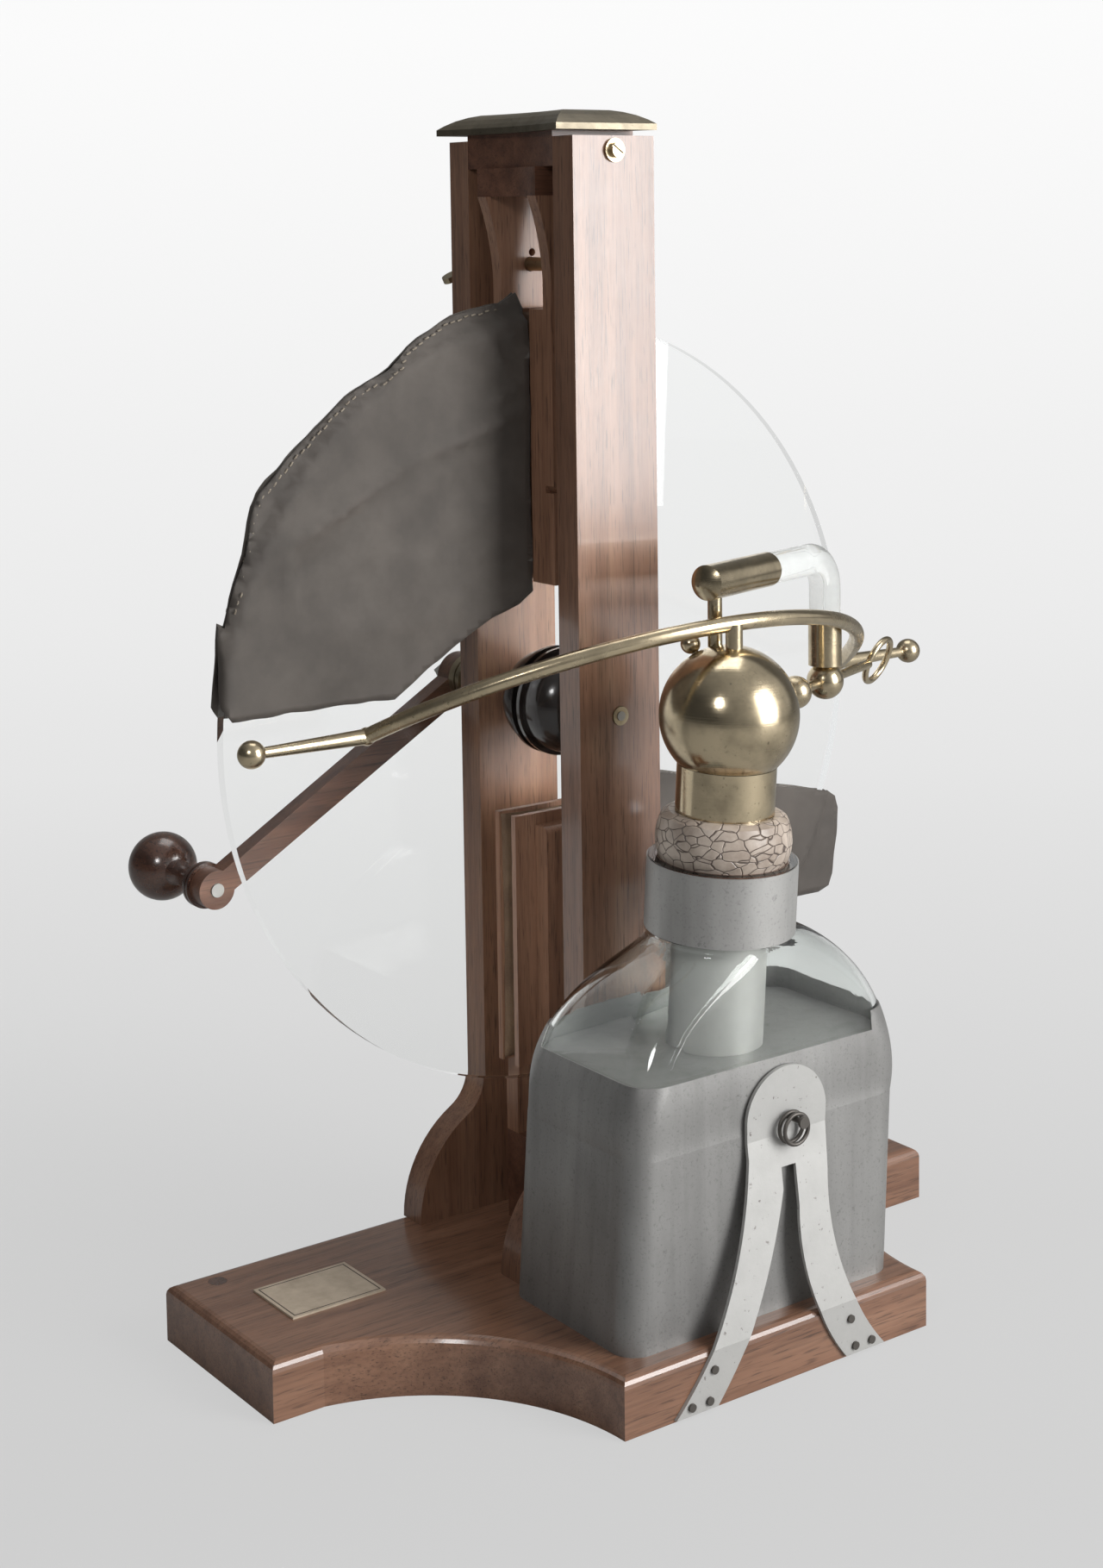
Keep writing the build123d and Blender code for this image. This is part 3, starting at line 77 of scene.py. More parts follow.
PAD_COLUMNS, PAD_ROWS = 26, 72   # faces across and down a pad
PAD_EDGE = 0.12                  # a pad's thickness at its edge, as a share of the whole
PAD_CROWN = 0.84                 # what the crown adds, as a share of the whole


# ---- Node helpers ----------------------------------------------------------------------
class Shader:
    """A material under construction, with short calls for the nodes used here."""

    def __init__(self, name):
        self.material = bpy.data.materials.new(name)
        self.material.use_nodes = True
        self.tree = self.material.node_tree
        self.bsdf = self.tree.nodes["Principled BSDF"]
        self.out = self.tree.nodes["Material Output"]
        self.place = self.node("ShaderNodeTexCoord").outputs["Object"]

    def node(self, kind, **settings):
        n = self.tree.nodes.new(kind)
        for key, value in settings.items():
            setattr(n, key, value)
        return n

    def link(self, a, b):
        self.tree.links.new(a, b)

    def set(self, **values):
        for key, value in values.items():
            self.bsdf.inputs[key.replace("_", " ")].default_value = value

    def mapped(self, scale=(1, 1, 1), turn=(0, 0, 0), move=(0, 0, 0)):
        n = self.node("ShaderNodeMapping")
        n.inputs["Scale"].default_value = scale
        n.inputs["Rotation"].default_value = turn
        n.inputs["Location"].default_value = move
        self.link(self.place, n.inputs["Vector"])
        return n.outputs["Vector"]

    def noise(self, where, scale, detail=4.0, rough=0.55, distort=0.0):
        n = self.node("ShaderNodeTexNoise")
        n.inputs["Scale"].default_value = scale
        n.inputs["Detail"].default_value = detail
        n.inputs["Roughness"].default_value = rough
        n.inputs["Distortion"].default_value = distort
        self.link(where, n.inputs["Vector"])
        return n.outputs["Fac"]

    def wave(self, where, scale, distort, detail=2.0, detail_scale=1.0, axis="X"):
        n = self.node("ShaderNodeTexWave", wave_type="BANDS", bands_direction=axis,
                      wave_profile="SIN")
        n.inputs["Scale"].default_value = scale
        n.inputs["Distortion"].default_value = distort
        n.inputs["Detail"].default_value = detail
        n.inputs["Detail Scale"].default_value = detail_scale
        self.link(where, n.inputs["Vector"])
        return n.outputs["Fac"]

    def ramp(self, value, *stops):
        n = self.node("ShaderNodeValToRGB")
        ramp = n.color_ramp
        while len(ramp.elements) < len(stops):
            ramp.elements.new(0.5)
        for element, (at, colour) in zip(ramp.elements, stops):
            if isinstance(colour, float):
                colour = (colour, colour, colour)
            element.position = at
            element.color = (*colour, 1)
        self.link(value, n.inputs["Fac"])
        return n.outputs["Color"]

    def mix(self, amount, a, b, how="MIX"):
        n = self.node("ShaderNodeMix", data_type="RGBA", blend_type=how)
        factor, colour_a, colour_b = n.inputs[0], n.inputs[6], n.inputs[7]
        for socket, value in ((factor, amount), (colour_a, a), (colour_b, b)):
            if isinstance(value, (float, int)):
                socket.default_value = value
            elif isinstance(value, tuple):
                socket.default_value = (*value, 1)
            else:
                self.link(value, socket)
        return n.outputs[2]      # the colour result

    def maths(self, how, a, b=0.5):
        n = self.node("ShaderNodeMath", operation=how)
        for socket, value in ((n.inputs[0], a), (n.inputs[1], b)):
            if isinstance(value, (float, int)):
                socket.default_value = value
            else:
                self.link(value, socket)
        return n.outputs[0]

    def bump(self, height, strength=0.3, distance=0.001, under=None):
        n = self.node("ShaderNodeBump")
        n.inputs["Strength"].default_value = strength
        n.inputs["Distance"].default_value = distance
        self.link(height, n.inputs["Height"])
        if under is not None:
            self.link(under, n.inputs["Normal"])
        self.link(n.outputs["Normal"], self.bsdf.inputs["Normal"])
        return n.outputs["Normal"]

    def colour(self, source):
        self.link(source, self.bsdf.inputs["Base Color"])

    def rough(self, source):
        self.link(source, self.bsdf.inputs["Roughness"])


# ---- Materials -------------------------------------------------------------------------
def wood(name, grain, dark, mid, light, gloss=0.34, turn=0.0, seed=0.0, polish=0.5):
    """Polished mahogany: soft figure, short dark pores, faint ribbon and a worn coat.

    grain is the axis along the fibres, X, Y or Z.
    """
    s = Shader(name)
    along = {"X": 0, "Y": 1, "Z": 2}[grain]
    move = (seed, seed * 0.7, seed * 1.3)

    def stretched(across, down, twist=0.0):
        scale = [across, across, across]
        scale[along] = down
        return s.mapped(tuple(scale), (0, turn + twist, 0), move)

    figure = s.noise(stretched(26.0, 3.2, 0.03), 1.0, 3.0, 0.55, 1.2)
    ribbon = s.noise(stretched(150.0, 3.0, 0.02), 1.0, 3.0, 0.6, 0.2)
    pores = s.noise(stretched(1500.0, 70.0), 1.0, 2.0, 0.5)
    strokes = s.noise(stretched(700.0, 26.0), 1.0, 3.0, 0.6)
    blotch = s.noise(s.mapped((13, 13, 13), move=move), 1.0, 3.0, 0.6)
    scuffs = s.noise(s.mapped((240, 240, 240), move=move), 1.0, 4.0, 0.7)
    tone = s.ramp(s.mix(0.45, figure, ribbon), (0.36, dark), (0.50, mid), (0.66, light))
    tone = s.mix(0.55, tone, s.ramp(strokes, (0.34, 0.62), (0.52, 1.04)), "MULTIPLY")
    tone = s.mix(0.80, tone, s.ramp(pores, (0.33, 0.42), (0.42, 1.0)), "MULTIPLY")
    tone = s.mix(0.5, tone, s.ramp(blotch, (0.3, 0.80), (0.7, 1.14)), "MULTIPLY")
    s.colour(tone)
    s.rough(s.ramp(s.mix(0.4, blotch, scuffs), (0.3, gloss - 0.05), (0.7, gloss + 0.14)))
    s.bump(s.mix(0.5, pores, strokes), 0.20, 0.0004)
    s.set(Coat_Weight=polish, Coat_Roughness=0.14, Coat_IOR=1.5)
    return s.material


def brass(name, tone=(0.60, 0.50, 0.34), rough=0.2, turned=None, tarnish=0.5, spots=0.35):
    """Old polished brass: fine turning or drawing lines, cloudy tarnish and small dark spots."""
    s = Shader(name)
    cloud = s.noise(s.mapped((34, 34, 34)), 1.0, 5.0, 0.62, 0.6)
    patch = s.noise(s.mapped((95, 95, 95)), 1.0, 5.0, 0.62)
    specks = s.noise(s.mapped((520, 520, 520)), 1.0, 3.0, 0.6)
    worn = tuple(c * 0.42 for c in tone)
    dull = s.mix(tarnish, tone, s.ramp(s.mix(0.45, cloud, patch), (0.38, worn), (0.56, tone)))
    s.colour(s.mix(0.7, dull, s.ramp(specks, (0.27, spots), (0.36, 1.0)), "MULTIPLY"))
    lines = {"X": (1400, 8, 8), "Y": (8, 1400, 8), "Z": (8, 8, 1400), None: (420, 420, 420)}[turned]
    ridges = s.noise(s.mapped(lines), 1.0, 3.0, 0.6)
    s.rough(s.mix(0.3, s.ramp(cloud, (0.3, rough + 0.20), (0.62, rough)),
                  s.ramp(ridges, (0.3, rough + 0.12), (0.7, rough - 0.04))))
    s.bump(ridges, 0.12, 0.0003)
    s.set(Metallic=1.0)
    return s.material


def metal(name, tone, rough, speck=0.4, flecks=(0.12, 0.10, 0.09), metallic=0.85):
    """Dull worn iron or tin with specks of rust."""
    s = Shader(name)
    patch = s.noise(s.mapped((45, 45, 45)), 1.0, 5.0, 0.6)
    spots = s.noise(s.mapped((330, 330, 330)), 1.0, 4.0, 0.65)
    tint = s.mix(0.6, tone, s.ramp(patch, (0.3, tuple(c * 0.8 for c in tone)), (0.7, tone)))
    s.colour(s.mix(s.ramp(spots, (0.29, speck), (0.36, 0.0)), tint, flecks))
    s.rough(s.ramp(patch, (0.3, rough + 0.1), (0.7, rough - 0.06)))
    s.bump(spots, 0.2, 0.0003)
    s.set(Metallic=metallic)
    return s.material


def foil_paint(name, light=0.26):
    """Grey tinfoil coat with a dull lustre: mottled, fine specks, dark grit and drips."""
    s = Shader(name)
    cloud = s.noise(s.mapped((19, 19, 9)), 1.0, 5.0, 0.6)
    speck = s.noise(s.mapped((900, 900, 900)), 1.0, 3.0, 0.6)
    grit = s.noise(s.mapped((260, 260, 260)), 1.0, 4.0, 0.65)
    runs = s.noise(s.mapped((120, 120, 4)), 1.0, 3.0, 0.5)
    low = tuple(light * c for c in (0.80, 0.785, 0.76))
    high = tuple(light * c for c in (1.22, 1.205, 1.17))
    tone = s.ramp(cloud, (0.30, low), (0.70, high))
    tone = s.mix(0.35, tone, s.ramp(runs, (0.33, 0.70), (0.50, 1.04)), "MULTIPLY")
    flecks = s.ramp(speck, (0.30, 0.55), (0.43, 1.0), (0.70, 1.0), (0.78, 1.4))
    tone = s.mix(0.50, tone, flecks, "MULTIPLY")
    tone = s.mix(0.40, tone, s.ramp(grit, (0.30, 0.45), (0.37, 1.0)), "MULTIPLY")
    s.colour(tone)
    s.rough(s.ramp(cloud, (0.3, 0.50), (0.7, 0.40)))
    s.bump(s.mix(0.5, speck, runs), 0.22, 0.0004)
    s.set(Metallic=0.55)
    return s.material


def glass(name, tint=(0.985, 0.992, 0.988), rough=0.0, ripple=0.06, milk=0.0, index=1.47):
    """Clear old glass with faint ripples and dust. Lamps pass through it with a faint shadow."""
    s = Shader(name)
    s.set(Base_Color=(*tint, 1), Roughness=rough, IOR=index, Transmission_Weight=1.0)
    wave = s.noise(s.mapped((14, 14, 14)), 1.0, 2.0, 0.4)
    s.bump(wave, ripple, 0.0012)
    clear = s.node("ShaderNodeBsdfTransparent")
    clear.inputs["Color"].default_value = (0.94, 0.95, 0.945, 1)
    body = s.bsdf.outputs[0]
    if milk:
        haze = s.node("ShaderNodeBsdfDiffuse")
        haze.inputs["Color"].default_value = (0.62, 0.63, 0.62, 1)
        cloudy = s.node("ShaderNodeMixShader")
        cloud = s.noise(s.mapped((90, 90, 90)), 1.0, 4.0, 0.6)
        s.link(s.ramp(cloud, (0.3, milk * 0.7), (0.7, milk * 1.3)), cloudy.inputs[0])
        s.link(body, cloudy.inputs[1])
        s.link(haze.outputs[0], cloudy.inputs[2])
        body = cloudy.outputs[0]
    path = s.node("ShaderNodeLightPath")
    mixer = s.node("ShaderNodeMixShader")
    s.link(path.outputs["Is Shadow Ray"], mixer.inputs[0])
    s.link(body, mixer.inputs[1])
    s.link(clear.outputs[0], mixer.inputs[2])
    s.link(mixer.outputs[0], s.out.inputs["Surface"])
    return s.material


def silk(name, seed=0.0):
    """Dark oiled silk: fine plain weave, soft blotches and rubbed patches."""
    s = Shader(name)
    warp = s.wave(s.mapped((1, 1, 1)), 1500.0, 0.4, 1.0, 1.0, "X")
    weft = s.wave(s.mapped((1, 1, 1)), 1500.0, 0.4, 1.0, 1.0, "Z")
    weave = s.mix(0.5, warp, weft)
    blotch = s.noise(s.mapped((16, 16, 16), move=(seed, 0, seed)), 1.0, 4.0, 0.6, 0.3)
    rub = s.noise(s.mapped((60, 60, 60), move=(seed, 0, seed)), 1.0, 5.0, 0.65)
    tone = s.ramp(blotch, (0.28, (0.062, 0.052, 0.044)), (0.72, (0.112, 0.095, 0.081)))
    tone = s.mix(0.45, tone, s.ramp(rub, (0.35, 0.78), (0.66, 1.3)), "MULTIPLY")
    s.colour(s.mix(0.25, tone, weave, "MULTIPLY"))
    s.rough(s.ramp(blotch, (0.3, 0.62), (0.7, 0.50)))
    s.bump(s.mix(0.4, weave, rub), 0.35, 0.0004)
    s.set(Sheen_Weight=0.15, Sheen_Roughness=0.4)
    return s.material


def leather(name):
    """Dull brown hide with a fine grain."""
    s = Shader(name)
    cells = s.node("ShaderNodeTexVoronoi")
    cells.inputs["Scale"].default_value = 900.0
    s.link(s.mapped(), cells.inputs["Vector"])
    blotch = s.noise(s.mapped((40, 40, 40)), 1.0, 4.0, 0.6)
    s.colour(s.ramp(blotch, (0.3, (0.10, 0.055, 0.030)), (0.7, (0.19, 0.115, 0.065))))
    s.rough(s.ramp(blotch, (0.3, 0.75), (0.7, 0.6)))
    s.bump(cells.outputs["Distance"], 0.35, 0.0004)
    return s.material


def wax(name):
    """Old sealing compound, grey with dust, with a net of dark cracks."""
    s = Shader(name)
    grime = s.noise(s.mapped((60, 60, 60)), 1.0, 5.0, 0.65)
    where = s.node("ShaderNodeVectorMath", operation="ADD")
    s.link(s.mapped((1, 1, 1.7)), where.inputs[0])
    bend = s.node("ShaderNodeTexNoise")
    bend.inputs["Scale"].default_value = 70.0
    shift = s.node("ShaderNodeVectorMath", operation="SCALE")
    shift.inputs["Scale"].default_value = 0.012
    s.link(s.place, bend.inputs["Vector"])
    s.link(bend.outputs["Color"], shift.inputs[0])
    s.link(shift.outputs[0], where.inputs[1])
    cells = s.node("ShaderNodeTexVoronoi", feature="DISTANCE_TO_EDGE")
    cells.inputs["Scale"].default_value = 135.0
    s.link(where.outputs[0], cells.inputs["Vector"])
    body = s.ramp(grime, (0.3, (0.27, 0.215, 0.175)), (0.7, (0.55, 0.470, 0.400)))
    crack = s.ramp(cells.outputs["Distance"], (0.008, 0.9), (0.04, 0.0))
    s.colour(s.mix(crack, body, (0.035, 0.020, 0.016)))
    s.rough(s.ramp(grime, (0.3, 0.34), (0.7, 0.52)))
    s.bump(s.ramp(cells.outputs["Distance"], (0.0, 0.0), (0.06, 1.0)), 0.6, 0.0008)
    return s.material


def lacquer(name):
    """Deep glossy black-brown lacquer of the turned hubs."""
    s = Shader(name)
    dust = s.noise(s.mapped((90, 90, 90)), 1.0, 5.0, 0.65)
    s.colour(s.ramp(dust, (0.3, (0.012, 0.009, 0.008)), (0.7, (0.028, 0.020, 0.016))))
    s.rough(s.ramp(dust, (0.3, 0.16), (0.7, 0.26)))
    s.bump(dust, 0.05, 0.0004)
    s.set(Coat_Weight=0.5, Coat_Roughness=0.08)
    return s.material


def label(name):
    """Bare pale panel with a thin dark line near its edge."""
    s = Shader(name)
    low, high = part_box("label_plate")
    axes = s.node("ShaderNodeSeparateXYZ")
    s.link(s.place, axes.inputs[0])
    inset = None
    for axis in (0, 1):
        middle, half = (low[axis] + high[axis]) / 2, (high[axis] - low[axis]) / 2
        off = s.maths("ABSOLUTE", s.maths("SUBTRACT", axes.outputs[axis], middle))
        gap = s.maths("SUBTRACT", half, off)
        inset = gap if inset is None else s.maths("MINIMUM", inset, gap)
    line_inset, line_half_width = 0.0017, 0.0003
    line = s.maths("COMPARE", inset, line_inset)
    line.node.inputs[2].default_value = line_half_width
    stain = s.noise(s.mapped((120, 120, 120)), 1.0, 5.0, 0.6)
    body = s.ramp(stain, (0.3, (0.40, 0.325, 0.245)), (0.7, (0.54, 0.45, 0.345)))
    s.colour(s.mix(line, body, (0.05, 0.035, 0.025)))
    s.rough(s.ramp(stain, (0.3, 0.6), (0.7, 0.5)))
    s.bump(stain, 0.1, 0.0004)
    return s.material


# Dark, middle and light tone of each kind of wood
MAHOGANY = ((0.080, 0.032, 0.018), (0.135, 0.058, 0.033), (0.190, 0.088, 0.050))
DEEP = ((0.045, 0.019, 0.012), (0.078, 0.034, 0.021), (0.115, 0.053, 0.032))
BOARD = ((0.230, 0.115, 0.068), (0.320, 0.170, 0.105), (0.410, 0.232, 0.146))
PALE = ((0.150, 0.070, 0.040), (0.215, 0.108, 0.064), (0.280, 0.150, 0.092))

THIN_PLATE_INDEX = 1.24          # under that of glass, so that the plate mirrors little of the room


def paint():
    """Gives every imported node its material."""
    upright_wood = wood("upright_wood", "Z", *PALE, gloss=0.34, seed=0.3, polish=0.80)
    rear_wood = wood("rear_upright_wood", "Z", *PALE, gloss=0.34, seed=2.3, polish=0.8)
    along_wood = wood("base_wood", "X", *PALE, gloss=0.32, seed=1.1, polish=0.8)
    board_wood = wood("board_wood", "Z", *BOARD, gloss=0.42, seed=4.7, polish=0.3)
    block_wood = wood("block_wood", "X", *MAHOGANY, gloss=0.42, seed=3.1, polish=0.3)
    arm_wood = wood("crank_wood", "X", *MAHOGANY, gloss=0.34, turn=radians(-30), seed=5.2)
    knob_wood = wood("knob_wood", "Y", *DEEP, gloss=0.22, seed=6.4, polish=0.9)
    bright = brass("ball_brass", rough=0.13, turned="Z", tarnish=0.6)
    drawn = brass("drawn_brass", rough=0.20, tarnish=0.5)
    old = brass("old_brass", tone=(0.48, 0.40, 0.27), rough=0.28, tarnish=0.7)
    steel = metal("worn_steel", (0.42, 0.41, 0.39), 0.42)
    tin = metal("strap_tin", (0.44, 0.435, 0.42), 0.50, speck=0.75, metallic=0.35)
    tube = metal("tube_tin", (0.34, 0.335, 0.32), 0.42, speck=0.2, metallic=0.5)
    iron = metal("dark_iron", (0.115, 0.105, 0.095), 0.44, speck=0.3, metallic=0.7)
    lacquered = lacquer("hub_lacquer")
    chosen = {
        "base": along_wood, "dowel_plug": knob_wood, "label_plate": label("label_panel"),
        "front_upright": upright_wood, "rear_upright": rear_wood, "top_block": block_wood,
        "cap_plate": brass("cap_brass", tone=(0.27, 0.235, 0.175), rough=0.34, tarnish=0.5),
        "frame_screws": drawn,
        "glass_plate": glass("plate_glass", ripple=0.01, index=THIN_PLATE_INDEX),
        "front_hub": lacquered, "rear_hub": lacquered, "axle": steel,
        "front_bush": old, "rear_bush": old,
        "crank_hub": old, "crank_arm": arm_wood, "crank_nut": steel, "knob_spindle": steel,
        "knob_collar": knob_wood, "crank_knob": knob_wood, "fork_block": block_wood,
        "front_fork_arm": board_wood, "rear_fork_arm": board_wood, "tightening_screw": old,
        "lower_block": block_wood, "lower_front_arm": board_wood, "lower_rear_arm": board_wood,
        "upper_front_board": board_wood, "upper_rear_board": board_wood,
        "lower_front_board": board_wood, "lower_rear_board": board_wood,
        "jar_bottle": glass("bottle_glass", (0.95, 0.975, 0.96), ripple=0.25),
        "jar_foil": foil_paint("foil_coat"), "jar_filling": foil_paint("leaf_filling", 0.20),
        "neck_band": foil_paint("band_coat", 0.36), "neck_bung": knob_wood,
        "wax_seal": wax("cracked_wax"), "neck_ferrule": bright, "inner_tube": tube,
        "conductor_ball": bright, "ball_terminal": drawn, "collecting_bow": drawn,
        "bow_stub": drawn,
        "left_collector": drawn, "right_collector": drawn, "electrometer_post": bright,
        "glass_arm": glass("rod_glass", (0.96, 0.97, 0.96), rough=0.05, ripple=0.1, milk=0.22),
        "arm_ferrule": bright, "sliding_rod": drawn, "jar_bracket": tin, "bracket_fixings": iron,
        "link_rings": iron,
    }
    for name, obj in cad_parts.items():
        if name in chosen:
            obj.data.materials.clear()
            obj.data.materials.append(chosen[name])


# ---- Object helpers --------------------------------------------------------------------
def add(name, data):
    """A new object in the scene with the given mesh, curve, light or camera."""
    obj = bpy.data.objects.new(name, data)
    bpy.context.collection.objects.link(obj)
    return obj


def smooth(mesh):
    for polygon in mesh.polygons:
        polygon.use_smooth = True


# ---- Leather pads of the rubbers -------------------------------------------------------
def pads():
    """Thin stuffed leather cushions: flat on their boards, crowned towards the glass."""
    hide = leather("pad_leather")
    for name in ("upper_front_pad", "upper_rear_pad", "lower_front_pad", "lower_rear_pad"):
        low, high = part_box(name)
        side = -1 if low[1] < 0 else 1
        glass_y, board_y = (high[1], low[1]) if side < 0 else (low[1], high[1])
        wide, tall = high[0] - low[0], high[2] - low[2]
        mid_x, mid_z = (low[0] + high[0]) / 2, (low[2] + high[2]) / 2
        mesh = bmesh.new()
        layers = []
        for crowned in (False, True):
            layer = []
            for j in range(PAD_ROWS + 1):
                for i in range(PAD_COLUMNS + 1):
                    u, v = 2 * i / PAD_COLUMNS - 1, 2 * j / PAD_ROWS - 1
                    pull = 1 - 0.020 * (1 - u * u) * abs(v) ** 3
                    x = mid_x + u * wide / 2 * (1 - 0.025 * (1 - v * v))
                    z = mid_z + v * tall / 2 * pull
                    crown = ((1 - u ** 6) * (1 - v ** 10)) ** 0.5 if crowned else 0.0
                    puff = noise.noise(Vector((x * 70, z * 70, side * 3.0))) * 0.10
                    share = min(1.0, PAD_EDGE * crowned + crown * (PAD_CROWN + puff))
                    y = board_y + (glass_y - board_y) * share
                    layer.append(mesh.verts.new((x, y, z)))
            layers.append(layer)
        step = PAD_COLUMNS + 1
        for layer, flip in zip(layers, (side < 0, side > 0)):
            for j in range(PAD_ROWS):
                for i in range(PAD_COLUMNS):
                    ring = [layer[j * step + i], layer[j * step + i + 1],
                            layer[(j + 1) * step + i + 1], layer[(j + 1) * step + i]]
                    mesh.faces.new(ring if flip else ring[::-1])
        back, front = layers
        border = [i for i in range(PAD_COLUMNS)]
        border += [j * step + PAD_COLUMNS for j in range(PAD_ROWS)]
        border += [PAD_ROWS * step + i for i in range(PAD_COLUMNS, 0, -1)]
        border += [j * step for j in range(PAD_ROWS, 0, -1)]
        for k, a in enumerate(border):
            b = border[(k + 1) % len(border)]
            mesh.faces.new([back[a], back[b], front[b], front[a]])
        bmesh.ops.recalc_face_normals(mesh, faces=mesh.faces)
        data = bpy.data.meshes.new(name + "_cushion")
        mesh.to_mesh(data)
        mesh.free()
        smooth(data)
        cushion = add(name + "_cushion", data)
        data.materials.append(hide)
        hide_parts(name)
        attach(cushion, "frame")


# ---- Silk flaps ------------------------------------------------------------------------
def eased(share):
    """A share from 0 to 1 that starts and ends gently."""
    return share * share * (3 - 2 * share)


def around(r, angle):
    """A point of the plate's plane, as X and Z, at a radius and an angle about the axle."""
    return Vector((r * cos(radians(angle)), AXLE_Z + r * sin(radians(angle))))


def wavy(points, size, pitch, seed):
    """The outline with the small unevenness of hand-cut cloth."""
    out = []
    for i, a in enumerate(points):
        b = points[(i + 1) % len(points)]
        steps = max(1, round((b - a).length / CUT_STEP))
        for k in range(steps):
            p = a.lerp(b, k / steps)
            shift = noise.noise_vector(Vector((p.x / pitch, p.y / pitch, seed)))
            out.append(p + Vector((shift.x, shift.y)) * size)
    return out


def crease(p, a, b, height, width):
    """Height of one creased fold at p: sharp along the line from a to b, fading at its ends."""
    run = b - a
    along = (p - a).dot(run) / run.length_squared
    nearest = a + run * min(1.0, max(0.0, along))
    away = (p - nearest).length
    ends = sin(pi * min(1.0, max(0.0, along * 0.8 + 0.1)))
    return height * exp(-away / width) * max(0.0, ends)


def cloth(name, outline, height, side, seed):
    """A thin sheet over an outline in X and Z. height gives its swell at each point."""
    inside = []
    pitch = SILK_MESH
    xs, zs = [p.x for p in outline], [p.y for p in outline]
    column = min(xs) + pitch
    while column < max(xs):
        row = min(zs) + pitch
        while row < max(zs):
            jitter = noise.noise_vector(Vector((column * 900, row * 900, seed)))
            inside.append(Vector((column + jitter.x * pitch * 0.2, row + jitter.y * pitch * 0.2)))
            row += pitch
        column += pitch
    edge = [(i, (i + 1) % len(outline)) for i in range(len(outline))]
    border = list(range(len(outline)))
    verts, _, faces, *_ = delaunay_2d_cdt(outline + inside, edge, [border], 1, 1e-6)
    used = sorted({i for f in faces for i in f})
    slot = {old: new for new, old in enumerate(used)}
    mesh = bpy.data.meshes.new(name)
    points = [(verts[i].x, side * (SILK_OFF + height(verts[i])), verts[i].y) for i in used]
    mesh.from_pydata(points, [], [[slot[i] for i in f] for f in faces])
    smooth(mesh)
    obj = add(name, mesh)
    solid = obj.modifiers.new("cloth thickness", "SOLIDIFY")
    solid.thickness = SILK_THICK
    solid.offset = 0
    return obj


def closing_rim(p):
    """Pulls the sheet in to the middle of the plate beyond the plate's edge."""
    r = hypot(p.x, p.y - AXLE_Z)
    share = min(1.0, max(0.0, (r - PLATE_R - RIM_START) / RIM_RUN))
    return -eased(share) * (SILK_OFF - RIM_OFF)


# Each crease: its start and end in X and Z, its height and its half width
UPPER_CREASES = (
    ((-0.136, 0.337), (-0.077, 0.367), 0.0042, 0.0030),
    ((-0.077, 0.367), (-0.019, 0.385), 0.0036, 0.0025),
    ((-0.136, 0.337), (-0.132, 0.300), 0.0026, 0.0022),
    ((-0.020, 0.395), (-0.040, 0.388), 0.0026, 0.0020),
    ((-0.046, 0.424), (-0.028, 0.402), 0.0032, 0.0022),
    ((-0.034, 0.430), (-0.022, 0.410), 0.0026, 0.0018),
    ((-0.060, 0.352), (-0.018, 0.366), -0.0012, 0.0060),
    ((-0.120, 0.300), (-0.060, 0.300), 0.0014, 0.0080),
    ((-0.150, 0.318), (-0.110, 0.334), -0.0012, 0.0050),
)
LOWER_CREASES = (
    ((0.034, 0.197), (0.104, 0.185), 0.0022, 0.0030),
    ((0.100, 0.139), (0.148, 0.173), 0.0018, 0.0030),
)


def swell(creases, seed):
    """Height of a flap above its resting plane, from its creases and a soft unevenness."""
    lines = [(Vector(a), Vector(b), h, w) for a, b, h, w in creases]

    def height(p):
        total = 0.0014 * noise.noise(Vector((p.x * 26, p.y * 26, seed)))
        total += 0.0004 * noise.noise(Vector((p.x * 90, p.y * 90, seed + 5)))
        for a, b, high, wide in lines:
            total += crease(p, a, b, high, wide)
        return max(LOWEST_FOLD, total) + closing_rim(p)

    return height


def rim_radius(angle):
    """Radius of the upper flap's sewn rim: hand cut, so that it swells and draws in."""
    knots = ((97, 0.1750), (107.3, 0.1763), (112.9, 0.1742), (119.4, 0.1694), (127.8, 0.1724),
             (134.2, 0.1729), (140.2, 0.1747), (145.5, 0.1771), (153.7, 0.1708), (165, 0.1692))
    for (a, ra), (b, rb) in zip(knots, knots[1:]):
        if angle <= b:
            return ra + (rb - ra) * eased(max(0.0, (angle - a) / (b - a)))
    return knots[-1][1]


def upper_flap(side):
    """Upper silk: from the rubber's board over the quadrant towards the left collector."""
    rim = [around(rim_radius(a), a) for a in range(99, 165, 2)]
    outline = [Vector((-0.0162, 0.428)), Vector((-0.0200, 0.4345))] + rim
    outline += [Vector(p) for p in ((-0.1650, 0.308), (-0.1663, 0.2746), (-0.1628, 0.2695),
                                    (-0.0990, 0.2698), (-0.0866, 0.2690), (-0.0775, 0.2745),
                                    (-0.0675, 0.2810), (-0.0526, 0.2895), (-0.0374, 0.2976),
                                    (-0.0238, 0.3023), (-0.0162, 0.3076))]
    outline = wavy(outline, 0.0007, 0.011, 3.0 + side)
    return cloth("upper_silk_front" if side < 0 else "upper_silk_rear", outline,
                 swell(UPPER_CREASES, 1.5 + side), side, 4.0 + side)


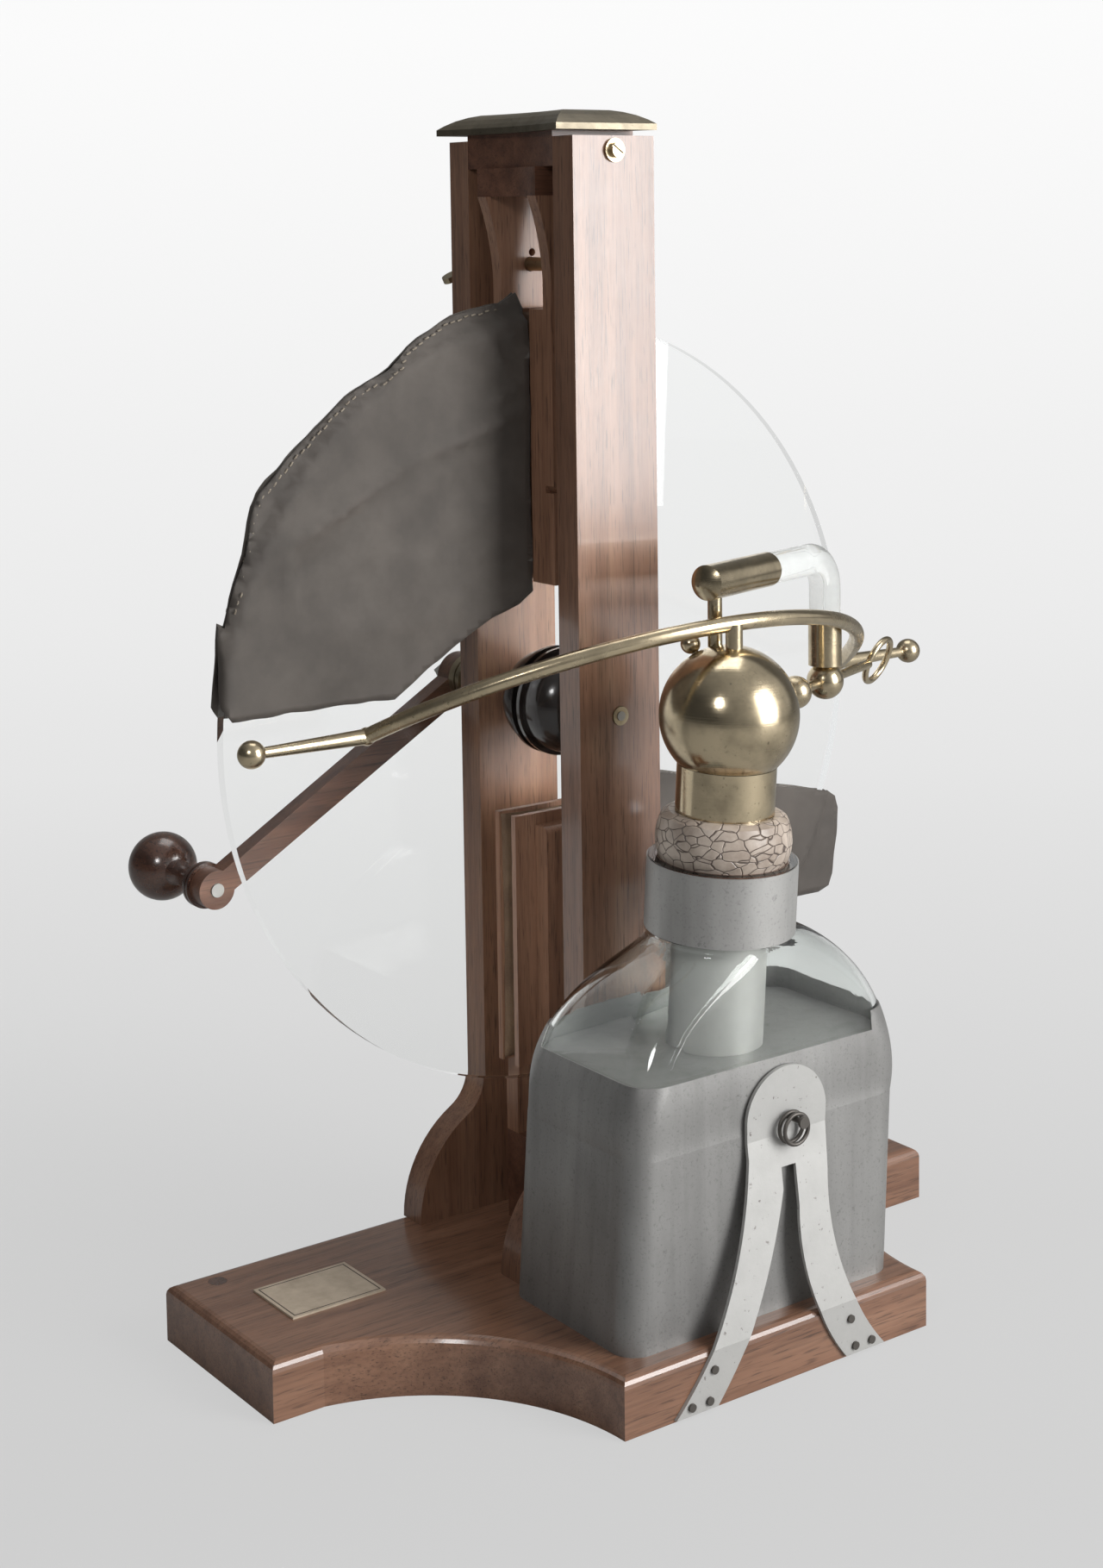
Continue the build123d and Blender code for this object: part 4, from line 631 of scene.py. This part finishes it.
def lower_flap(side):
    """Lower silk: from the lower board round towards the right collector."""
    rim = [around(PLATE_R + 0.0085 + 0.0015 * sin(a * 0.4), a) for a in range(-40, -78, -2)]
    outline = [Vector(p) for p in ((0.0296, 0.2110), (0.0430, 0.2165), (0.0510, 0.2185),
                                   (0.0580, 0.2170), (0.1200, 0.2020), (0.1570, 0.1935),
                                   (0.1625, 0.1900), (0.1645, 0.1840), (0.1600, 0.1530),
                                   (0.1575, 0.1470), (0.1510, 0.1450), (0.1410, 0.1450))]
    outline += rim + [Vector((0.0296, 0.0900))]
    outline = wavy(outline, 0.0005, 0.012, 8.0 + side)
    return cloth("lower_silk_front" if side < 0 else "lower_silk_rear", outline,
                 swell(LOWER_CREASES, 7.5 + side), side, 9.0 + side)


def thread():
    """Pale sewing silk, a little fuzzy."""
    s = Shader("silk_thread")
    fuzz = s.noise(s.mapped((900, 900, 900)), 1.0, 2.0, 0.5)
    s.colour(s.ramp(fuzz, (0.3, (0.16, 0.13, 0.10)), (0.7, (0.30, 0.26, 0.20))))
    s.rough(s.ramp(fuzz, (0.3, 0.8), (0.7, 0.7)))
    return s.material


STITCH_PITCH = 0.0034
STITCH_INSET = 0.0022            # from the sewn rim to the thread
STITCH_SPAN = 100, 161           # degrees about the axle


def stitches(name, side, sewing):
    """Hand stitches along the sewn rim, as short threads lying on the cloth."""
    curve = bpy.data.curves.new(name, "CURVE")
    curve.dimensions = "3D"
    curve.bevel_depth = 0.00040
    curve.bevel_resolution = 1
    step = STITCH_PITCH / PLATE_R * 180 / pi
    angle, end = STITCH_SPAN
    while angle < end:
        spline = curve.splines.new("POLY")
        spline.points.add(2)
        for k, share in enumerate((0.0, 0.28, 0.56)):
            r = rim_radius(angle) - STITCH_INSET + 0.0004 * sin(angle * 1.7)
            p = around(r, angle + step * share)
            lift = 0.00045 if k == 1 else 0.00015
            y = side * (SILK_OFF + closing_rim(p) + SILK_THICK / 2 + lift)
            spline.points[k].co = (p.x, y, p.y, 1)
        angle += step
    obj = add(name, curve)
    obj.data.materials.append(sewing)
    return obj


def silks():
    """The four flaps, the upper two with their stitched rims, in place of the plain solids."""
    sewing = thread()
    for side, word in ((-1, "front"), (1, "rear")):
        cover = upper_flap(side)
        cover.data.materials.append(silk("oiled_silk_upper_" + word, 0.4 * side))
        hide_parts("upper_%s_silk" % word)
        seam = stitches("upper_stitches_" + word, side, sewing)
        ride_all("frame", cover, seam)
        cover = lower_flap(side)
        cover.data.materials.append(silk("oiled_silk_lower_" + word, 0.9 * side))
        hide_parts("lower_%s_silk" % word)
        ride_all("frame", cover)


def ride_all(body, *objs):
    for obj in objs:
        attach(obj, body)


# ---- Stage, lights and camera ----------------------------------------------------------
FLOOR_GAP = 0.0002               # keeps the floor off the base's underside
ROOM_SIDE = (0.80, -0.35, 0.45)  # direction from which the room is brightest
ROOM_SEEN = 0.85                 # the room's level where it is seen or shines through glass
GLOW_SHARE = 0.80                # the backdrop's own light in what is seen of it
GLOW_START, GLOW_RUN = -0.2, 3.1  # depth where the glow begins to grow, and its length


def stage():
    """A pale floor that sweeps up behind, brighter to the camera towards the top."""
    ahead, across = LEVEL_AHEAD, LEVEL_RIGHT
    floor_end, bend = 1.3, 0.9
    profile = [(-3.0, 0.0), (floor_end, 0.0)]
    profile += [(floor_end + bend * sin(radians(a)), bend - bend * cos(radians(a)))
                for a in range(6, 91, 6)]
    profile += [(2.2, 4.0)]
    mesh = bpy.data.meshes.new("backdrop")
    verts, faces = [], []
    for along, up in profile:
        for half in (-4.0, 4.0):
            verts.append(ahead * along + across * half + Vector((0, 0, up - FLOOR_GAP)))
    for i in range(len(profile) - 1):
        faces.append((2 * i, 2 * i + 1, 2 * i + 3, 2 * i + 2))
    mesh.from_pydata(verts, [], faces)
    smooth(mesh)
    sweep = add("backdrop", mesh)
    s = Shader("backdrop_paper")
    s.set(Base_Color=(0.42, 0.42, 0.415, 1), Roughness=0.9, Specular_IOR_Level=0.1)
    glow = s.node("ShaderNodeEmission")
    away = s.node("ShaderNodeVectorMath", operation="DOT_PRODUCT")
    away.inputs[1].default_value = (ahead.x, ahead.y, 1.0)
    s.link(s.place, away.inputs[0])
    depth = s.maths("ADD", away.outputs["Value"], -GLOW_START)
    depth = s.maths("MULTIPLY", depth, 1 / GLOW_RUN)
    level = s.ramp(depth, (0.0, 0.69), (0.08, 0.71), (0.19, 0.80), (0.38, 0.92), (0.73, 1.03),
                   (1.0, 1.15))
    s.link(level, glow.inputs["Color"])
    path = s.node("ShaderNodeLightPath")
    seen = s.maths("MAXIMUM", path.outputs["Is Camera Ray"], path.outputs["Is Transmission Ray"])
    mixer = s.node("ShaderNodeMixShader")
    s.link(s.maths("MULTIPLY", seen, GLOW_SHARE), mixer.inputs[0])
    s.link(s.bsdf.outputs[0], mixer.inputs[1])
    s.link(glow.outputs[0], mixer.inputs[2])
    s.link(mixer.outputs[0], s.out.inputs["Surface"])
    sweep.data.materials.append(s.material)


def lamp(name, at, size, power, towards=(0, -0.02, 0.22), shape="RECTANGLE"):
    """An area lamp aimed at a point. A disk takes its first size only."""
    data = bpy.data.lights.new(name, "AREA")
    data.shape = shape
    data.size = size[0]
    if shape == "RECTANGLE":
        data.size_y = size[1]
    data.energy = power
    obj = add(name, data)
    obj.location = at
    obj.rotation_euler = (Vector(towards) - Vector(at)).to_track_quat("-Z", "Y").to_euler()


def lights():
    """A tall soft panel to the right front, a round reflector above the camera, a dim room."""
    lamp("panel", (0.74, -1.45, 0.72), (0.80, 1.20), 34.0, towards=(0, 0, 0.40))
    lamp("reflector", (-1.18, -0.86, 1.08), (0.30, 0.30), 4.5, shape="DISK")
    lamp("top", (0.3, 0.3, 1.9), (0.9, 0.9), 6.0)
    world = bpy.data.worlds.new("room")
    world.use_nodes = True
    tree = world.node_tree
    place = tree.nodes.new("ShaderNodeTexCoord")
    side = tree.nodes.new("ShaderNodeVectorMath")
    side.operation = "DOT_PRODUCT"
    side.inputs[1].default_value = ROOM_SIDE
    tree.links.new(place.outputs["Generated"], side.inputs[0])
    level = tree.nodes.new("ShaderNodeMapRange")
    for socket, value in (("From Min", -0.5), ("From Max", 0.9),
                          ("To Min", 0.07), ("To Max", 0.60)):
        level.inputs[socket].default_value = value
    tree.links.new(side.outputs["Value"], level.inputs["Value"])
    path = tree.nodes.new("ShaderNodeLightPath")
    clear = tree.nodes.new("ShaderNodeMix")
    clear.data_type = "FLOAT"
    clear.inputs["B"].default_value = ROOM_SEEN
    seen = tree.nodes.new("ShaderNodeMath")
    seen.operation = "MAXIMUM"
    tree.links.new(path.outputs["Is Transmission Ray"], seen.inputs[0])
    tree.links.new(path.outputs["Is Camera Ray"], seen.inputs[1])
    tree.links.new(seen.outputs[0], clear.inputs["Factor"])
    tree.links.new(level.outputs[0], clear.inputs["A"])
    tree.nodes["Background"].inputs["Color"].default_value = (0.95, 0.96, 0.97, 1)
    tree.links.new(clear.outputs[0], tree.nodes["Background"].inputs["Strength"])
    bpy.context.scene.world = world


def camera():
    """The photograph's viewpoint, with the upright shift of its framing."""
    ahead = LEVEL_AHEAD * cos(CAMERA_PITCH) - Vector((0, 0, sin(CAMERA_PITCH)))
    right = LEVEL_RIGHT
    up = right.cross(ahead)
    x_axis = right * cos(CAMERA_ROLL) - up * sin(CAMERA_ROLL)
    y_axis = right * sin(CAMERA_ROLL) + up * cos(CAMERA_ROLL)
    data = bpy.data.cameras.new("camera")
    data.sensor_width = FILM
    data.sensor_fit = "VERTICAL"
    data.sensor_height = FILM
    data.lens = FOCAL_PIXELS / PHOTO_FRAME[1] * FILM
    data.shift_y = -(PHOTO_FRAME[1] / 2 - AXIS_PIXEL) / PHOTO_FRAME[1]
    data.clip_start = 0.05
    obj = add("camera", data)
    turn = Matrix((x_axis, y_axis, -ahead)).transposed().to_4x4()
    obj.matrix_world = Matrix.Translation(CAMERA_AT) @ turn
    bpy.context.scene.camera = obj


paint()
pads()
silks()
stage()
lights()
camera()
bpy.context.scene.view_settings.view_transform = "Standard"
